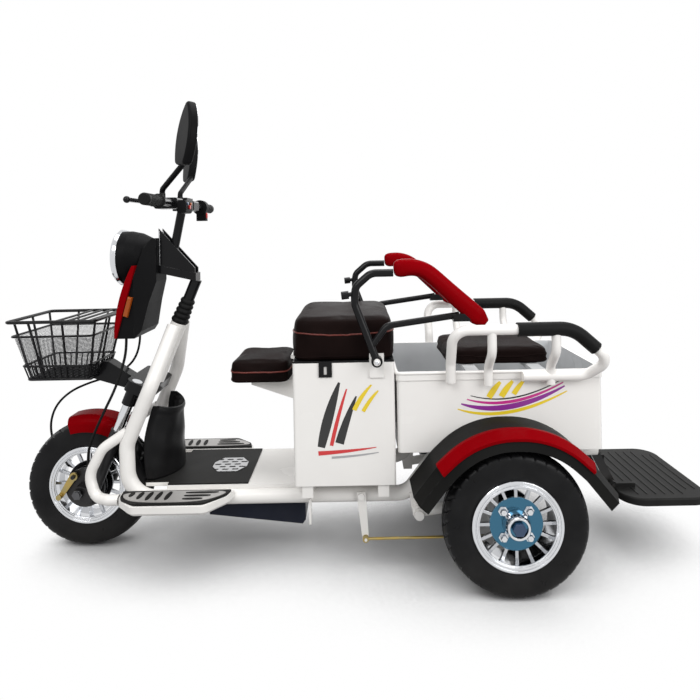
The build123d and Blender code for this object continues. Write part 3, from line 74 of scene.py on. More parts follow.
def makeCamera(look):
    data = bpy.data.cameras.new("camera")
    data.lens = look["lens"]
    data.sensor_width = look["sensor"]
    data.shift_x = look["shiftX"]
    data.shift_y = look["shiftY"]
    camera = bpy.data.objects.new("camera", data)
    scene.collection.objects.link(camera)
    camera.matrix_world = Matrix.Translation(look["place"]) @ turned(90, "X") @ turned(look["roll"], "Z")
    scene.camera = camera


makeCamera(cameraLook)
scene.view_settings.view_transform = "Standard"


# node builders shared by the light and the materials


def addNode(tree, kind, sockets=None, **settings):
    # a socket takes a value or another node's output
    node = tree.nodes.new("ShaderNode" + kind)
    for label, value in settings.items():
        setattr(node, label, value)
    for key, value in (sockets or {}).items():
        if isinstance(value, bpy.types.NodeSocket):
            tree.links.new(value, node.inputs[key])
        else:
            node.inputs[key].default_value = value
    return node


def objectPlace(tree):
    return addNode(tree, "TexCoord").outputs["Object"]


def splitPlace(tree, place):
    return addNode(tree, "SeparateXYZ", {0: place}).outputs


def combine(tree, operation, first, second):
    return addNode(tree, "Math", {0: first, 1: second}, operation=operation).outputs[0]


def limit(tree, value, low, high, start=0.0, end=1.0):
    sockets = {"Value": value, "From Min": low, "From Max": high, "To Min": start, "To Max": end}
    return addNode(tree, "MapRange", sockets).outputs[0]


# soft studio light
studioLight = {
    "lamps": [
        # name, place, aims at, size, watts
        ("key", (-1.5, -2.6, 2.7), (0.0, 0.0, 0.4), 2.0, 56),
        ("fill", (2.4, -2.4, 1.8), (0.2, 0.0, 0.4), 2.2, 66),
        ("top", (0.1, 0.2, 3.4), (0.0, 0.0, 0.3), 2.4, 78),
        ("back", (0.6, 2.6, 2.2), (0.0, 0.0, 0.4), 2.0, 22),
    ],
    "world": 0.42,
}


def makeLight(settings):
    for name, place, target, size, watts in settings["lamps"]:
        data = bpy.data.lights.new(name, "AREA")
        data.shape = "SQUARE"
        data.size = size
        data.energy = watts
        lamp = bpy.data.objects.new(name, data)
        lamp.location = place
        lamp.rotation_euler = (Vector(target) - Vector(place)).to_track_quat("-Z", "Y").to_euler()
        scene.collection.objects.link(lamp)
    world = bpy.data.worlds.new("studio")
    scene.world = world
    world.use_nodes = True
    tree = world.node_tree
    rays = addNode(tree, "LightPath").outputs
    seen = combine(tree, "MAXIMUM", rays["Is Camera Ray"], rays["Is Glossy Ray"])
    seen = combine(tree, "MAXIMUM", seen, rays["Is Transmission Ray"])
    back = tree.nodes["Background"]
    back.inputs["Color"].default_value = (1, 1, 1, 1)
    tree.links.new(limit(tree, seen, 0.0, 1.0, settings["world"], 1.0), back.inputs["Strength"])


makeLight(studioLight)


# shared shader effects


def startGroup(name, inputs, output):
    group = bpy.data.node_groups.new(name, "ShaderNodeTree")
    for label, value in inputs.items():
        socket = group.interface.new_socket(name=label, in_out="INPUT", socket_type="NodeSocketFloat")
        socket.default_value = value
    group.interface.new_socket(name=output, in_out="OUTPUT", socket_type="NodeSocketFloat")
    return group, group.nodes.new("NodeGroupInput").outputs


def endGroup(group, value):
    result = group.nodes.new("NodeGroupOutput")
    group.links.new(value, result.inputs[0])
    return group


def patchyToneGroup():
    group, given = startGroup("patchyTone", {"Scale": 6.0, "Detail": 4.0}, "Tone")
    sockets = {"Vector": objectPlace(group), "Scale": given["Scale"], "Detail": given["Detail"]}
    cloud = addNode(group, "TexNoise", sockets)
    return endGroup(group, limit(group, cloud.outputs["Fac"], 0.3, 0.7))


def edgeRubGroup():
    group, given = startGroup("edgeRub", {"Width": 0.0025, "Break": 45.0}, "Mask")
    edge = addNode(group, "Bevel", {"Radius": given["Width"]}, samples=4)
    normal = addNode(group, "NewGeometry").outputs["Normal"]
    lean = addNode(group, "VectorMath", {0: edge.outputs[0], 1: normal}, operation="DOT_PRODUCT")
    ridge = limit(group, lean.outputs["Value"], 0.985, 0.86)
    cloud = addNode(group, "TexNoise", {"Vector": objectPlace(group), "Scale": given["Break"]})
    gate = limit(group, cloud.outputs["Fac"], 0.5, 0.64)
    return endGroup(group, combine(group, "MULTIPLY", ridge, gate))


def fineGrainGroup():
    group, given = startGroup("fineGrain", {"Scale": 400.0, "Cells": 0.0}, "Height")
    place, scale = objectPlace(group), given["Scale"]
    cloud = addNode(group, "TexNoise", {"Vector": place, "Scale": scale, "Detail": 3.0})
    cells = addNode(group, "TexVoronoi", {"Vector": place, "Scale": scale}, feature="DISTANCE_TO_EDGE")
    crease = limit(group, cells.outputs["Distance"], 0.0, 0.16)
    pick = addNode(group, "Mix", {0: given["Cells"], 2: cloud.outputs["Fac"], 3: crease})
    return endGroup(group, pick.outputs[0])


def roadDustGroup():
    group, given = startGroup("roadDust", {"Reach": 0.3, "Amount": 0.2}, "Mask")
    place = objectPlace(group)
    fall = limit(group, splitPlace(group, place)["Z"], 0.0, given["Reach"], 1.0, 0.0)
    cloud = addNode(group, "TexNoise", {"Vector": place, "Scale": 22.0, "Detail": 6.0})
    mixed = combine(group, "MULTIPLY", fall, cloud.outputs["Fac"])
    return endGroup(group, combine(group, "MULTIPLY", mixed, given["Amount"]))


def netWeaveGroup():
    group, given = startGroup("netWeave", {"Pitch": 0.004, "Thread": 0.001}, "Mask")
    split = splitPlace(group, objectPlace(group))
    half = combine(group, "MULTIPLY", given["Pitch"], 0.5)
    width = combine(group, "MULTIPLY", given["Thread"], 0.5)
    threads = []
    for value in (combine(group, "ADD", split["X"], split["Y"]), split["Z"]):
        wave = combine(group, "PINGPONG", value, half)
        threads.append(combine(group, "LESS_THAN", wave, width))
    return endGroup(group, combine(group, "MAXIMUM", *threads))


effects = {
    "netWeave": netWeaveGroup(),
    "patchyTone": patchyToneGroup(),
    "edgeRub": edgeRubGroup(),
    "fineGrain": fineGrainGroup(),
    "roadDust": roadDustGroup(),
}


def placeEffect(tree, name, **values):
    # the group's one output
    return addNode(tree, "Group", values, node_tree=effects[name]).outputs[0]


def mixColour(tree, mask, first, second):
    colours = [one + (1.0,) if isinstance(one, tuple) else one for one in (first, second)]
    return addNode(tree, "Mix", {0: mask, 6: colours[0], 7: colours[1]}, data_type="RGBA").outputs[2]


def newMaterial(name):
    material = bpy.data.materials.new(name)
    material.use_nodes = True
    return material, material.node_tree, material.node_tree.nodes["Principled BSDF"].inputs


def grainBump(tree, shader, look):
    grain = placeEffect(tree, "fineGrain", Scale=look["grainScale"], Cells=look["cells"])
    bump = addNode(tree, "Bump", {"Strength": look["bump"], "Distance": look["bumpDepth"], "Height": grain})
    tree.links.new(bump.outputs[0], shader["Normal"])
    return bump


# what a finish has where its own settings say nothing else
finishDefaults = {
    "toneScale": 5.0, "rubWidth": 0.0025, "dustReach": 0.35, "dustColour": (0.34, 0.31, 0.27),
    "roughVary": 0.03, "metallic": 0.0, "coat": 0.0, "coatRough": 0.04, "ior": 1.47, "spec": 0.5,
    "grainScale": 500.0, "cells": 0.0, "bump": 0.04, "bumpDepth": 0.001,
}


def makeFinish(name, settings):
    look = dict(finishDefaults, **settings)
    material, tree, shader = newMaterial(name)
    tone = placeEffect(tree, "patchyTone", Scale=look["toneScale"])
    colour = mixColour(tree, tone, look["colour"], look["shade"])
    if "inlay" in look:
        colour = look["inlay"](tree, colour)
    if "rub" in look:
        rub = placeEffect(tree, "edgeRub", Width=look["rubWidth"])
        colour = mixColour(tree, rub, colour, look["rub"])
    if "dust" in look:
        dust = placeEffect(tree, "roadDust", Reach=look["dustReach"], Amount=look["dust"])
        colour = mixColour(tree, dust, colour, look["dustColour"])
    tree.links.new(colour, shader["Base Color"])
    rough, vary = look["rough"], look["roughVary"]
    tree.links.new(limit(tree, tone, 0.0, 1.0, rough - vary, rough + vary), shader["Roughness"])
    shader["Metallic"].default_value = look["metallic"]
    shader["Coat Weight"].default_value = look["coat"]
    shader["Coat Roughness"].default_value = look["coatRough"]
    shader["IOR"].default_value = look["ior"]
    shader["Specular IOR Level"].default_value = look["spec"]
    if "net" in look:
        pitch, thread = look["net"]
        tree.links.new(placeEffect(tree, "netWeave", Pitch=pitch, Thread=thread), shader["Alpha"])
    bump = grainBump(tree, shader, look)
    if "softEdge" in look:
        edge = addNode(tree, "Bevel", {"Radius": look["softEdge"]}, samples=4)
        tree.links.new(edge.outputs[0], bump.inputs["Normal"])
    return material


# disc on the wheel's middle: its height, and the radii between which its edge fades
hubDisc = {"height": 0.187, "inside": 0.0676, "outside": 0.0684}


def hubInlay(centreX, colour):
    def paint(tree, base):
        split = splitPlace(tree, objectPlace(tree))
        flat = addNode(tree, "CombineXYZ", {"X": split["X"], "Z": split["Z"]}).outputs[0]
        sockets = {0: flat, 1: (centreX, 0.0, hubDisc["height"])}
        away = addNode(tree, "VectorMath", sockets, operation="DISTANCE").outputs["Value"]
        return mixColour(tree, limit(tree, away, hubDisc["inside"], hubDisc["outside"]), colour, base)

    return paint


def zoneInlay(steps, light, dark):
    # each step names an axis, where the zone starts and where it is full; Y counts from the middle
    def paint(tree, base):
        tone = placeEffect(tree, "patchyTone", Scale=14.0)
        split = splitPlace(tree, objectPlace(tree))
        mask = None
        for axis, low, high in steps:
            value = combine(tree, "ABSOLUTE", split["Y"], 0.0) if axis == "Y" else split[axis]
            edge = limit(tree, value, low, high)
            mask = edge if mask is None else combine(tree, "MULTIPLY", mask, edge)
        return mixColour(tree, mask, base, mixColour(tree, tone, light, dark))

    return paint


# painted shade: the inside walls and floor of the cargo box are painted a grey darker than its white outside
insideShadeZone = [("Y", 0.1978, 0.1974), ("X", 0.1242, 0.1246), ("X", 0.6798, 0.6794)]
bracketZone = [("X", 0.6835, 0.6845)]
swingZone = [("Y", 0.100, 0.102), ("X", 0.3815, 0.3805)]
whiteLook = {
    "colour": (0.80, 0.78, 0.755), "shade": (0.84, 0.825, 0.80), "rough": 0.26, "coat": 0.15, "spec": 0.2,
    "bump": 0.02, "grainScale": 260.0, "softEdge": 0.0016, "dust": 0.2, "dustReach": 0.3,
}
blackPlastic = {
    "colour": (0.005, 0.005, 0.0054), "shade": (0.009, 0.009, 0.0096), "rough": 0.42, "roughVary": 0.07,
    "spec": 0.035, "bump": 0.08, "grainScale": 900.0, "softEdge": 0.0015, "dust": 0.03,
    "rub": (0.035, 0.035, 0.035),
}
blackLook = {
    "colour": (0.004, 0.004, 0.0045), "shade": (0.007, 0.007, 0.0078), "rough": 0.22, "coat": 0.1,
    "spec": 0.12, "bump": 0.02, "rub": (0.05, 0.05, 0.05), "softEdge": 0.0012,
}
alloyLook = {
    "colour": (0.40, 0.41, 0.43), "rough": 0.18, "metallic": 1.0, "bump": 0.03, "softEdge": 0.0012,
    "grainScale": 300.0,
}
steelLook = {"rough": 0.3, "metallic": 1.0, "bump": 0.06, "softEdge": 0.0006}
finishLooks = {
    "whitePaint": whiteLook,
    # white box paint with the grey painted shade inside the box
    "cargoPaint": dict(whiteLook, inlay=zoneInlay(insideShadeZone, (0.56, 0.57, 0.58), (0.62, 0.63, 0.64))),
    "bracketPaint": dict(
        whiteLook, inlay=zoneInlay(bracketZone, (0.006, 0.006, 0.007), (0.010, 0.010, 0.011))),
    "blackPaint": blackLook,
    "axlePaint": dict(blackLook, inlay=zoneInlay(swingZone, (0.76, 0.74, 0.715), (0.82, 0.805, 0.78))),
    "redGloss": {
        "colour": (0.18, 0.0006, 0.0022), "shade": (0.22, 0.0011, 0.0032), "rough": 0.2, "spec": 0.008,
        "bump": 0.01, "softEdge": 0.002, "toneScale": 3.0},
    "darkPlastic": blackPlastic,
    "softCover": dict(blackPlastic, rough=0.36, spec=0.1, rub=(0.02, 0.02, 0.02)),
    "fenderPlastic": dict(
        blackPlastic, colour=(0.008, 0.008, 0.0078), shade=(0.013, 0.013, 0.0125), spec=0.03),
    "boardPlastic": dict(
        blackPlastic, colour=(0.011, 0.011, 0.011), shade=(0.018, 0.018, 0.018), rough=0.36, spec=0.05),
    "blueGrey": {
        "colour": (0.006, 0.008, 0.016), "shade": (0.010, 0.013, 0.024), "rough": 0.34, "spec": 0.08,
        "bump": 0.05, "softEdge": 0.0015, "dust": 0.05},
    "blackRubber": {
        "colour": (0.006, 0.006, 0.006), "shade": (0.012, 0.012, 0.012), "rough": 0.5, "roughVary": 0.08,
        "spec": 0.08, "bump": 0.12, "grainScale": 1100.0, "dust": 0.06},
    "tyreRubber": {
        "colour": (0.0045, 0.0045, 0.005), "shade": (0.009, 0.009, 0.0095), "rough": 0.34, "roughVary": 0.08,
        "spec": 0.13, "bump": 0.12, "grainScale": 700.0, "dust": 0.05, "dustReach": 0.15, "toneScale": 18.0},
    "alloyFront": dict(
        alloyLook, shade=(0.50, 0.51, 0.53), inlay=hubInlay(-0.808, (0.008, 0.008, 0.009))),
    "alloyRear": dict(
        alloyLook, shade=(0.52, 0.53, 0.55), rough=0.14, inlay=hubInlay(0.411, (0.05, 0.145, 0.225))),
    "satinAlloy": {
        "colour": (0.016, 0.016, 0.018), "shade": (0.028, 0.028, 0.03), "rough": 0.34, "metallic": 0.5,
        "bump": 0.08, "grainScale": 600.0, "softEdge": 0.0015, "spec": 0.3, "dust": 0.15},
    "chrome": {
        "colour": (0.60, 0.61, 0.63), "shade": (0.68, 0.69, 0.71), "rough": 0.08, "metallic": 1.0,
        "bump": 0.01, "roughVary": 0.03, "softEdge": 0.001},
    "zincPlate": {
        "colour": (0.42, 0.29, 0.08), "shade": (0.30, 0.26, 0.13), "rough": 0.32, "metallic": 1.0,
        "bump": 0.08, "toneScale": 30.0, "softEdge": 0.001},
    "brightSteel": dict(steelLook, colour=(0.44, 0.44, 0.45), shade=(0.54, 0.54, 0.55)),
    "darkSteel": dict(steelLook, colour=(0.09, 0.09, 0.095), shade=(0.14, 0.14, 0.145)),
    "leatherette": {
        "colour": (0.006, 0.0038, 0.0036), "shade": (0.0105, 0.006, 0.0055), "rough": 0.4, "roughVary": 0.06,
        "spec": 0.012, "bump": 0.2, "grainScale": 420.0, "cells": 0.75, "bumpDepth": 0.0006,
        "toneScale": 9.0},
    "piping": {
        "colour": (0.085, 0.013, 0.009), "shade": (0.12, 0.02, 0.013), "rough": 0.4, "bump": 0.15,
        "grainScale": 900.0, "spec": 0.3},
    "foam": {
        "colour": (0.005, 0.005, 0.005), "shade": (0.009, 0.009, 0.009), "rough": 0.45, "bump": 0.2,
        "grainScale": 1300.0, "cells": 0.4, "spec": 0.08},
    "redButton": {
        "colour": (0.45, 0.015, 0.015), "shade": (0.52, 0.025, 0.02), "rough": 0.3, "coat": 0.3,
        "softEdge": 0.0005},
    "orangeLens": {
        "colour": (0.30, 0.055, 0.004), "shade": (0.38, 0.085, 0.006), "rough": 0.16, "coat": 0.15,
        "spec": 0.2, "bump": 0.2, "grainScale": 160.0, "cells": 1.0, "softEdge": 0.001},
    "greyInlay": {
        "colour": (0.30, 0.29, 0.28), "shade": (0.40, 0.39, 0.38), "rough": 0.4, "metallic": 0.3, "bump": 0.1,
        "grainScale": 700.0, "dust": 0.2},
    "capBlue": {
        "colour": (0.008, 0.03, 0.085), "shade": (0.012, 0.04, 0.10), "rough": 0.22, "coat": 0.4,
        "softEdge": 0.001},
    "stripeRed": {"colour": (0.55, 0.02, 0.025), "shade": (0.6, 0.03, 0.03), "rough": 0.3, "coat": 0.3},
    "stripeBlack": {"colour": (0.012, 0.012, 0.012), "shade": (0.02, 0.02, 0.02), "rough": 0.3},
    "stripePurple": {"colour": (0.23, 0.02, 0.25), "shade": (0.27, 0.03, 0.29), "rough": 0.3},
    "stripeMagenta": {"colour": (0.50, 0.02, 0.22), "shade": (0.56, 0.03, 0.26), "rough": 0.3},
    "stripeYellow": {"colour": (0.75, 0.55, 0.02), "shade": (0.8, 0.6, 0.04), "rough": 0.3},
    "stripeGrey": {"colour": (0.32, 0.32, 0.33), "shade": (0.38, 0.38, 0.39), "rough": 0.3},
    "netGrey": {
        "colour": (0.03, 0.03, 0.032), "shade": (0.05, 0.05, 0.052), "rough": 0.5, "spec": 0.1,
        "net": (0.004, 0.001)},
}
finishes = {name: makeFinish(name, look) for name, look in finishLooks.items()}


# fluted glass of the headlight
glassLook = {
    "colour": (0.93, 0.95, 0.96), "dim": 0.95, "toneScale": 12.0, "rough": 0.05, "ior": 1.45,
    "grainScale": 120.0, "cells": 1.0, "bump": 0.12, "bumpDepth": 0.001,
}


def makeGlass(name, look):
    material, tree, shader = newMaterial(name)
    tone = placeEffect(tree, "patchyTone", Scale=look["toneScale"])
    shade = tuple(look["dim"] * part for part in look["colour"])
    tree.links.new(mixColour(tree, tone, look["colour"], shade), shader["Base Color"])
    shader["Roughness"].default_value = look["rough"]
    shader["Transmission Weight"].default_value = 1.0
    shader["IOR"].default_value = look["ior"]
    grainBump(tree, shader, look)
    return material


finishes["clearLens"] = makeGlass("clearLens", glassLook)
print("finishes made:", len(finishes))

# finish of each carried-over solid
solidFinish = {
    "whitePaint": ["main_tubes", "head_tube", "guard_loops", "floor_panel", "footrests", "seat_box",
                   "side_rails", "relay_arm"],
    "cargoPaint": ["cargo_box"],
    "bracketPaint": ["frame_brackets"],
    "axlePaint": ["rear_axle"],
    "blackRubber": ["floor_mats", "grip_left", "throttle_grip", "bellows", "control_cables", "rear_buffers"],
    "brightSteel": ["grip_plate"],
    "darkSteel": ["front_axle"],
    "darkPlastic": ["shroud", "battery", "panel_inner", "switch_housings", "mirror_left", "mirror_right"],
    "fenderPlastic": ["fenders"],
    "boardPlastic": ["footboard"],
    "blueGrey": ["controller_housing"],
    "leatherette": ["child_cushion", "bench_cushion", "seat_cushion"],
    "foam": ["rail_sleeves"],
    "redGloss": ["fender_bands", "front_panel", "front_fender", "arm_pad_left", "arm_pad_right"],
    "blackPaint": ["steering_stem", "handlebar", "lever_perches", "basket", "brake_lever_left",
                   "brake_lever_right", "seat_lid", "arm_frame_left", "arm_frame_right"],
    "chrome": ["stanchions", "headlight_ring"],
    "orangeLens": ["signal_lenses"],
    "clearLens": ["headlight_lens"],
    "satinAlloy": ["fork_sliders"],
    "zincPlate": ["brake_arm", "brake_rod"],
    "alloyFront": ["front_rim"],
    "alloyRear": ["rear_rim_left", "rear_rim_right"],
    "tyreRubber": ["front_tyre", "rear_tyre_left", "rear_tyre_right"],
    "redButton": ["horn_button"],
}
for finishName, nodeNames in solidFinish.items():
    for nodeName in nodeNames:
        mesh = cadNodes[nodeName].data
        mesh.materials.clear()
        mesh.materials.append(finishes[finishName])
print("solids painted")


# small builders shared by the pieces


def addPiece(name, data, body):
    piece = bpy.data.objects.new(name, data)
    scene.collection.objects.link(piece)
    if body:
        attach(piece, body)
    return piece


def addMesh(name, points, faces, finish, body, smooth=35):
    mesh = bpy.data.meshes.new(name)
    mesh.from_pydata([tuple(p) for p in points], [], faces)
    mesh.validate()
    mesh.update()
    shape = bmesh.new()
    shape.from_mesh(mesh)
    bmesh.ops.recalc_face_normals(shape, faces=shape.faces)
    shape.to_mesh(mesh)
    shape.free()
    mesh.shade_smooth()
    mesh.set_sharp_from_angle(angle=math.radians(smooth))
    mesh.materials.append(finishes[finish])
    return addPiece(name, mesh, body)


def gridFaces(rows, columns, wrapRows=False, wrapColumns=False):
    faces = []
    for row in range(rows if wrapRows else rows - 1):
        for column in range(columns if wrapColumns else columns - 1):
            a = row * columns + column
            b = row * columns + (column + 1) % columns
            c = (row + 1) % rows * columns + (column + 1) % columns
            d = (row + 1) % rows * columns + column
            faces.append((a, b, c, d))
    return faces


def tubeFaces(rows, columns):
    # rings joined side to side, with both ends closed
    last = (rows - 1) * columns
    ends = [tuple(reversed(range(columns))), tuple(range(last, last + columns))]
    return gridFaces(rows, columns, wrapColumns=True) + ends


def ringAngles(count):
    return [2 * math.pi * step / count for step in range(count)]


def addTurned(name, profile, segments, place, finish, body, closed=False, smooth=35):
    # profile of (radius, along) pairs, turned about the local Z axis
    points = []
    for angle in ringAngles(segments):
        for radius, along in profile:
            points.append(place @ Vector((radius * math.cos(angle), radius * math.sin(angle), along)))
    faces = gridFaces(segments, len(profile), wrapRows=True, wrapColumns=closed)
    return addMesh(name, points, faces, finish, body, smooth)


def makeLine(name, route, smoothLine, cyclic=False, fine=8):
    data = bpy.data.curves.new(name, "CURVE")
    data.dimensions = "3D"
    spline = data.splines.new("NURBS" if smoothLine else "POLY")
    spline.points.add(len(route) - 1)
    for point, place in zip(spline.points, route):
        point.co = tuple(place) + (1.0,)
    spline.use_cyclic_u = cyclic
    if smoothLine:
        spline.order_u = 3
        spline.use_endpoint_u = not cyclic
        spline.resolution_u = fine
    return data


def roundLine(data, radius, finish):
    data.bevel_depth = radius
    data.bevel_resolution = 3
    data.use_fill_caps = True
    data.materials.append(finishes[finish])
    return data


def addCurve(name, route, radius, finish, body, cyclic=False):
    data = roundLine(makeLine(name, route, False, cyclic), radius, finish)
    return addPiece(name, data, body)


def bakedMesh(piece):
    bpy.context.view_layer.update()
    shown = piece.evaluated_get(bpy.context.evaluated_depsgraph_get())
    return bpy.data.meshes.new_from_object(shown)


def lineMesh(data):
    holder = addPiece(data.name, data, None)
    mesh = bakedMesh(holder)
    bpy.data.objects.remove(holder)
    return mesh


# cables from the panel's foot to the fork
cableRoutes = {
    "brakeCable": {
        "radius": 0.004, "exit": (-0.672, -0.062, 0.6357),
        "route": [
            (-0.672, -0.062, 0.6357), (-0.672, -0.062, 0.596), (-0.686, -0.068, 0.538),
            (-0.706, -0.074, 0.480), (-0.734, -0.076, 0.425), (-0.760, -0.077, 0.370),
            (-0.779, -0.078, 0.325), (-0.786, -0.076, 0.290), (-0.786, -0.076, 0.2543)],
    },
    "speedCable": {
        "radius": 0.0035, "exit": (-0.670, 0.040, 0.6357),
        "route": [
            (-0.670, 0.040, 0.6357), (-0.670, 0.040, 0.598), (-0.694, 0.052, 0.542),
            (-0.738, 0.060, 0.506), (-0.792, 0.062, 0.486), (-0.848, 0.060, 0.470),
            (-0.904, 0.060, 0.446), (-0.950, 0.060, 0.404), (-0.970, 0.060, 0.350),
            (-0.966, 0.060, 0.296), (-0.944, 0.056, 0.248), (-0.905, 0.0465, 0.205),
            (-0.8643, 0.0465, 0.205)],
    },
}


def addCable(name, settings):
    route, radius = settings["route"], settings["radius"]
    mesh = lineMesh(roundLine(makeLine(name + "Line", route, True), radius, "blackRubber"))
    mesh.shade_smooth()
    cable = addPiece(name, mesh, None)
    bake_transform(cable)
    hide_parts("control_cables")
    path = [v.co.copy() for v in lineMesh(makeLine("measure", route, True, fine=24)).vertices]


for cableName, settings in cableRoutes.items():
    addCable(cableName, settings)
print("cables laid")

# ribbed rubber springs over the rear axle
bufferLook = {"node": "rear_buffers", "ribs": 4, "rib": 0.0035, "steps": 8, "keep": 0.72}


def addBuffer(side, sign, look):
    low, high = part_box(look["node"])
    radius = (high.x - low.x) / 2
    x, y = (low.x + high.x) / 2, (high.y - radius) * sign
    count = look["ribs"] * look["steps"]
    profile = [(0.0, low.z)]
    for step in range(count + 1):
        swell = 0.5 + 0.5 * math.cos(2 * math.pi * step / look["steps"])
        profile.append((radius - look["rib"] * swell, low.z + (high.z - low.z) * step / count))
    profile.append((0.0, high.z))
    place = Matrix.Translation((x, y, 0))
    spring = addTurned("rearBuffer" + side, profile, 40, place, "blackRubber", "frame")
    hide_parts(look["node"])
    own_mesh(spring)


for side, sign in sideSigns.items():
    addBuffer(side, sign, bufferLook)
print("rear buffers made")

# the three wheels: middle and body
wheels = {
    "front": ((-0.808, 0.0, 0.187), "front_wheel"),
    "rearLeft": ((0.411, -0.288, 0.187), "rear_wheel_left"),
    "rearRight": ((0.411, 0.288, 0.187), "rear_wheel_right"),
}


def outwardPlace(centre, sign):
    # local Z points away from the middle of the tricycle
    return Matrix.Translation(centre) @ turned(-90 * sign, "X")


# tyres with a cut tread
tyreShape = {
    "around": 288, "crown": 0.187, "wide": 0.039, "bead": 0.1023, "beadWide": 0.0327, "neck": 0.118,
    "shoulder": 0.179, "wallSteps": 10, "treadShare": 0.84, "grooveDepth": 0.0042, "grooveAt": 0.010,
    "grooveHalf": 0.0019, "pitch": 36, "slant": 26.0,
}


def tyreProfile(shape):
    beadWide, neck, shoulder = shape["beadWide"], shape["neck"], shape["shoulder"]
    profile = [(shape["bead"], -beadWide), (neck, -beadWide)]
    for step in range(1, shape["wallSteps"]):
        share = step / shape["wallSteps"]
        bulge = math.sin(math.pi * min(1.0, share * 0.92)) ** 0.7
        ridge = 0.0006 if step in (3, 7) else 0.0
        wide = beadWide + (shape["wide"] - beadWide) * bulge + ridge
        profile.append((neck + (shoulder - neck) * share, -wide))
    wall = [(radius, -along) for radius, along in reversed(profile)]
    half = shape["treadShare"] * shape["wide"]
    for step in range(25):
        along = -half + 2 * half * step / 24
        profile.append((shape["crown"] - (shape["crown"] - shoulder) * (along / half) ** 2, along))
    return profile + wall


def treadCut(shape, angle, along):
    reach, groove = abs(along), shape["grooveAt"]
    if reach > shape["treadShare"] * shape["wide"]:
        return 0.0
    if abs(reach - groove) < shape["grooveHalf"]:
        return 1.0
    lean = shape["slant"] * (reach - groove)
    phase = (angle / (2 * math.pi) * shape["pitch"] + lean + (0.5 if along > 0 else 0.0)) % 1.0
    if reach > groove and phase < 0.2:
        return 1.0
    if reach < 0.008 and phase < 0.12:
        return 0.7
    return 0.0


def addTyre(name, wheel, node, shape):
    (x, y, z), body = wheels[wheel]
    profile = tyreProfile(shape)
    edge = shape["wallSteps"] + 1
    points = []
    for angle in ringAngles(shape["around"]):
        for index, (radius, along) in enumerate(profile):
            tread = edge <= index < len(profile) - edge
            depth = shape["grooveDepth"] * treadCut(shape, angle, along) if tread else 0.0
            low = radius - depth
            points.append((x + low * math.cos(angle), y + along, z + low * math.sin(angle)))
    faces = gridFaces(shape["around"], len(profile), wrapRows=True, wrapColumns=True)
    tyre = addMesh(name, points, faces, "tyreRubber", body, smooth=38)
    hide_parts(node)


addTyre("frontTyre", "front", "front_tyre", tyreShape)
addTyre("rearTyreLeft", "rearLeft", "rear_tyre_left", tyreShape)
addTyre("rearTyreRight", "rearRight", "rear_tyre_right", tyreShape)
print("tyres made")

# wheel nuts, hub rings and caps on the rear wheels
wheelTrim = {
    "nutCircle": 0.047, "nutRadius": 0.0095, "nutHeight": 0.012, "face": 0.018, "capRadius": 0.01806,
    "capAt": 0.338, "ringRadius": 0.031,
}


def addWheelTrim(side, sign, trim):
    centre, body = wheels["rear" + side]
    outward = outwardPlace(centre, sign)
    r, h = trim["nutRadius"], trim["nutHeight"]
    nut = [(1.35 * r, 0.0), (1.35 * r, 0.002), (r, 0.0022), (r, 0.75 * h), (0.8 * r, h), (0.0005, h)]
    for number in range(4):
        angle = math.radians(45 + 90 * number)
        x, y = trim["nutCircle"] * math.cos(angle), trim["nutCircle"] * math.sin(angle)
        at = outward @ Matrix.Translation((x, y, trim["face"]))
        addTurned("wheelNut%s%d" % (side, number), nut, 6, at, "chrome", body, smooth=20)
    r = trim["ringRadius"]
    ring = [(r, 0.0), (r + 0.005, 0.002), (r + 0.005, 0.006), (r, 0.026), (r - 0.003, 0.030),
            (r - 0.008, 0.029), (r - 0.009, 0.0235)]
    at = outward @ Matrix.Translation((0, 0, trim["face"] - 0.001))
    addTurned("hubRing" + side, ring, 56, at, "chrome", body)


def addHubCap(side, sign, trim):
    # hexagon cap over the axle nut, on the axle's end
    centre = Vector(wheels["rear" + side][0])
    centre.y = sign * trim["capAt"]
    r = trim["capRadius"]
    cap = [(r, -0.008), (r, 0.001), (0.9 * r, 0.003), (0.0005, 0.003)]
    outward = outwardPlace(centre, sign)
    addTurned("hubCap" + side, cap, 6, outward, "capBlue", "axle", smooth=20)


# turned steps of the rim's outer face: radius and height over the wheel's middle
rimSteps = [
    (0.0968, 0.016), (0.0968, 0.0342), (0.0980, 0.0362), (0.1004, 0.0367), (0.1012, 0.0382),
    (0.1050, 0.0384), (0.1058, 0.0366), (0.1080, 0.0366), (0.1090, 0.0384), (0.1118, 0.0392),
    (0.1146, 0.0388), (0.1162, 0.0372), (0.1162, 0.0352), (0.100, 0.0352), (0.0975, 0.016),
]


def addRimRing(name, wheel, sign):
    centre, body = wheels[wheel]
    outward = outwardPlace(centre, sign)
    addTurned(name, rimSteps, 96, outward, "chrome", body, closed=True, smooth=30)


for side, sign in sideSigns.items():
    addWheelTrim(side, sign, wheelTrim)
for side, sign in sideSigns.items():
    addRimRing("rimRingFront" + side, "front", sign)
for side, sign in sideSigns.items():
    addRimRing("rimRingRear" + side, "rear" + side, sign)
for side, sign in sideSigns.items():
    addHubCap(side, sign, wheelTrim)
print("wheel trim made")

# cushions, blown up by cloth
cushionLook = {
    "seatCushion": {
        "node": "seat_cushion", "body": "seat", "piping": 0.66, "cap": 0.0035, "voxel": 0.0050, "fill": 0.75},
    "childCushion": {
        "node": "child_cushion", "body": "frame", "piping": 0.52, "cap": 0.003, "voxel": 0.0045,
        "fill": 0.75},
    "benchCushion": {
        "node": "bench_cushion", "body": "frame", "piping": 0.55, "welt": "leatherette", "cap": 0.003,
        "voxel": 0.0045, "fill": 0.7},
}
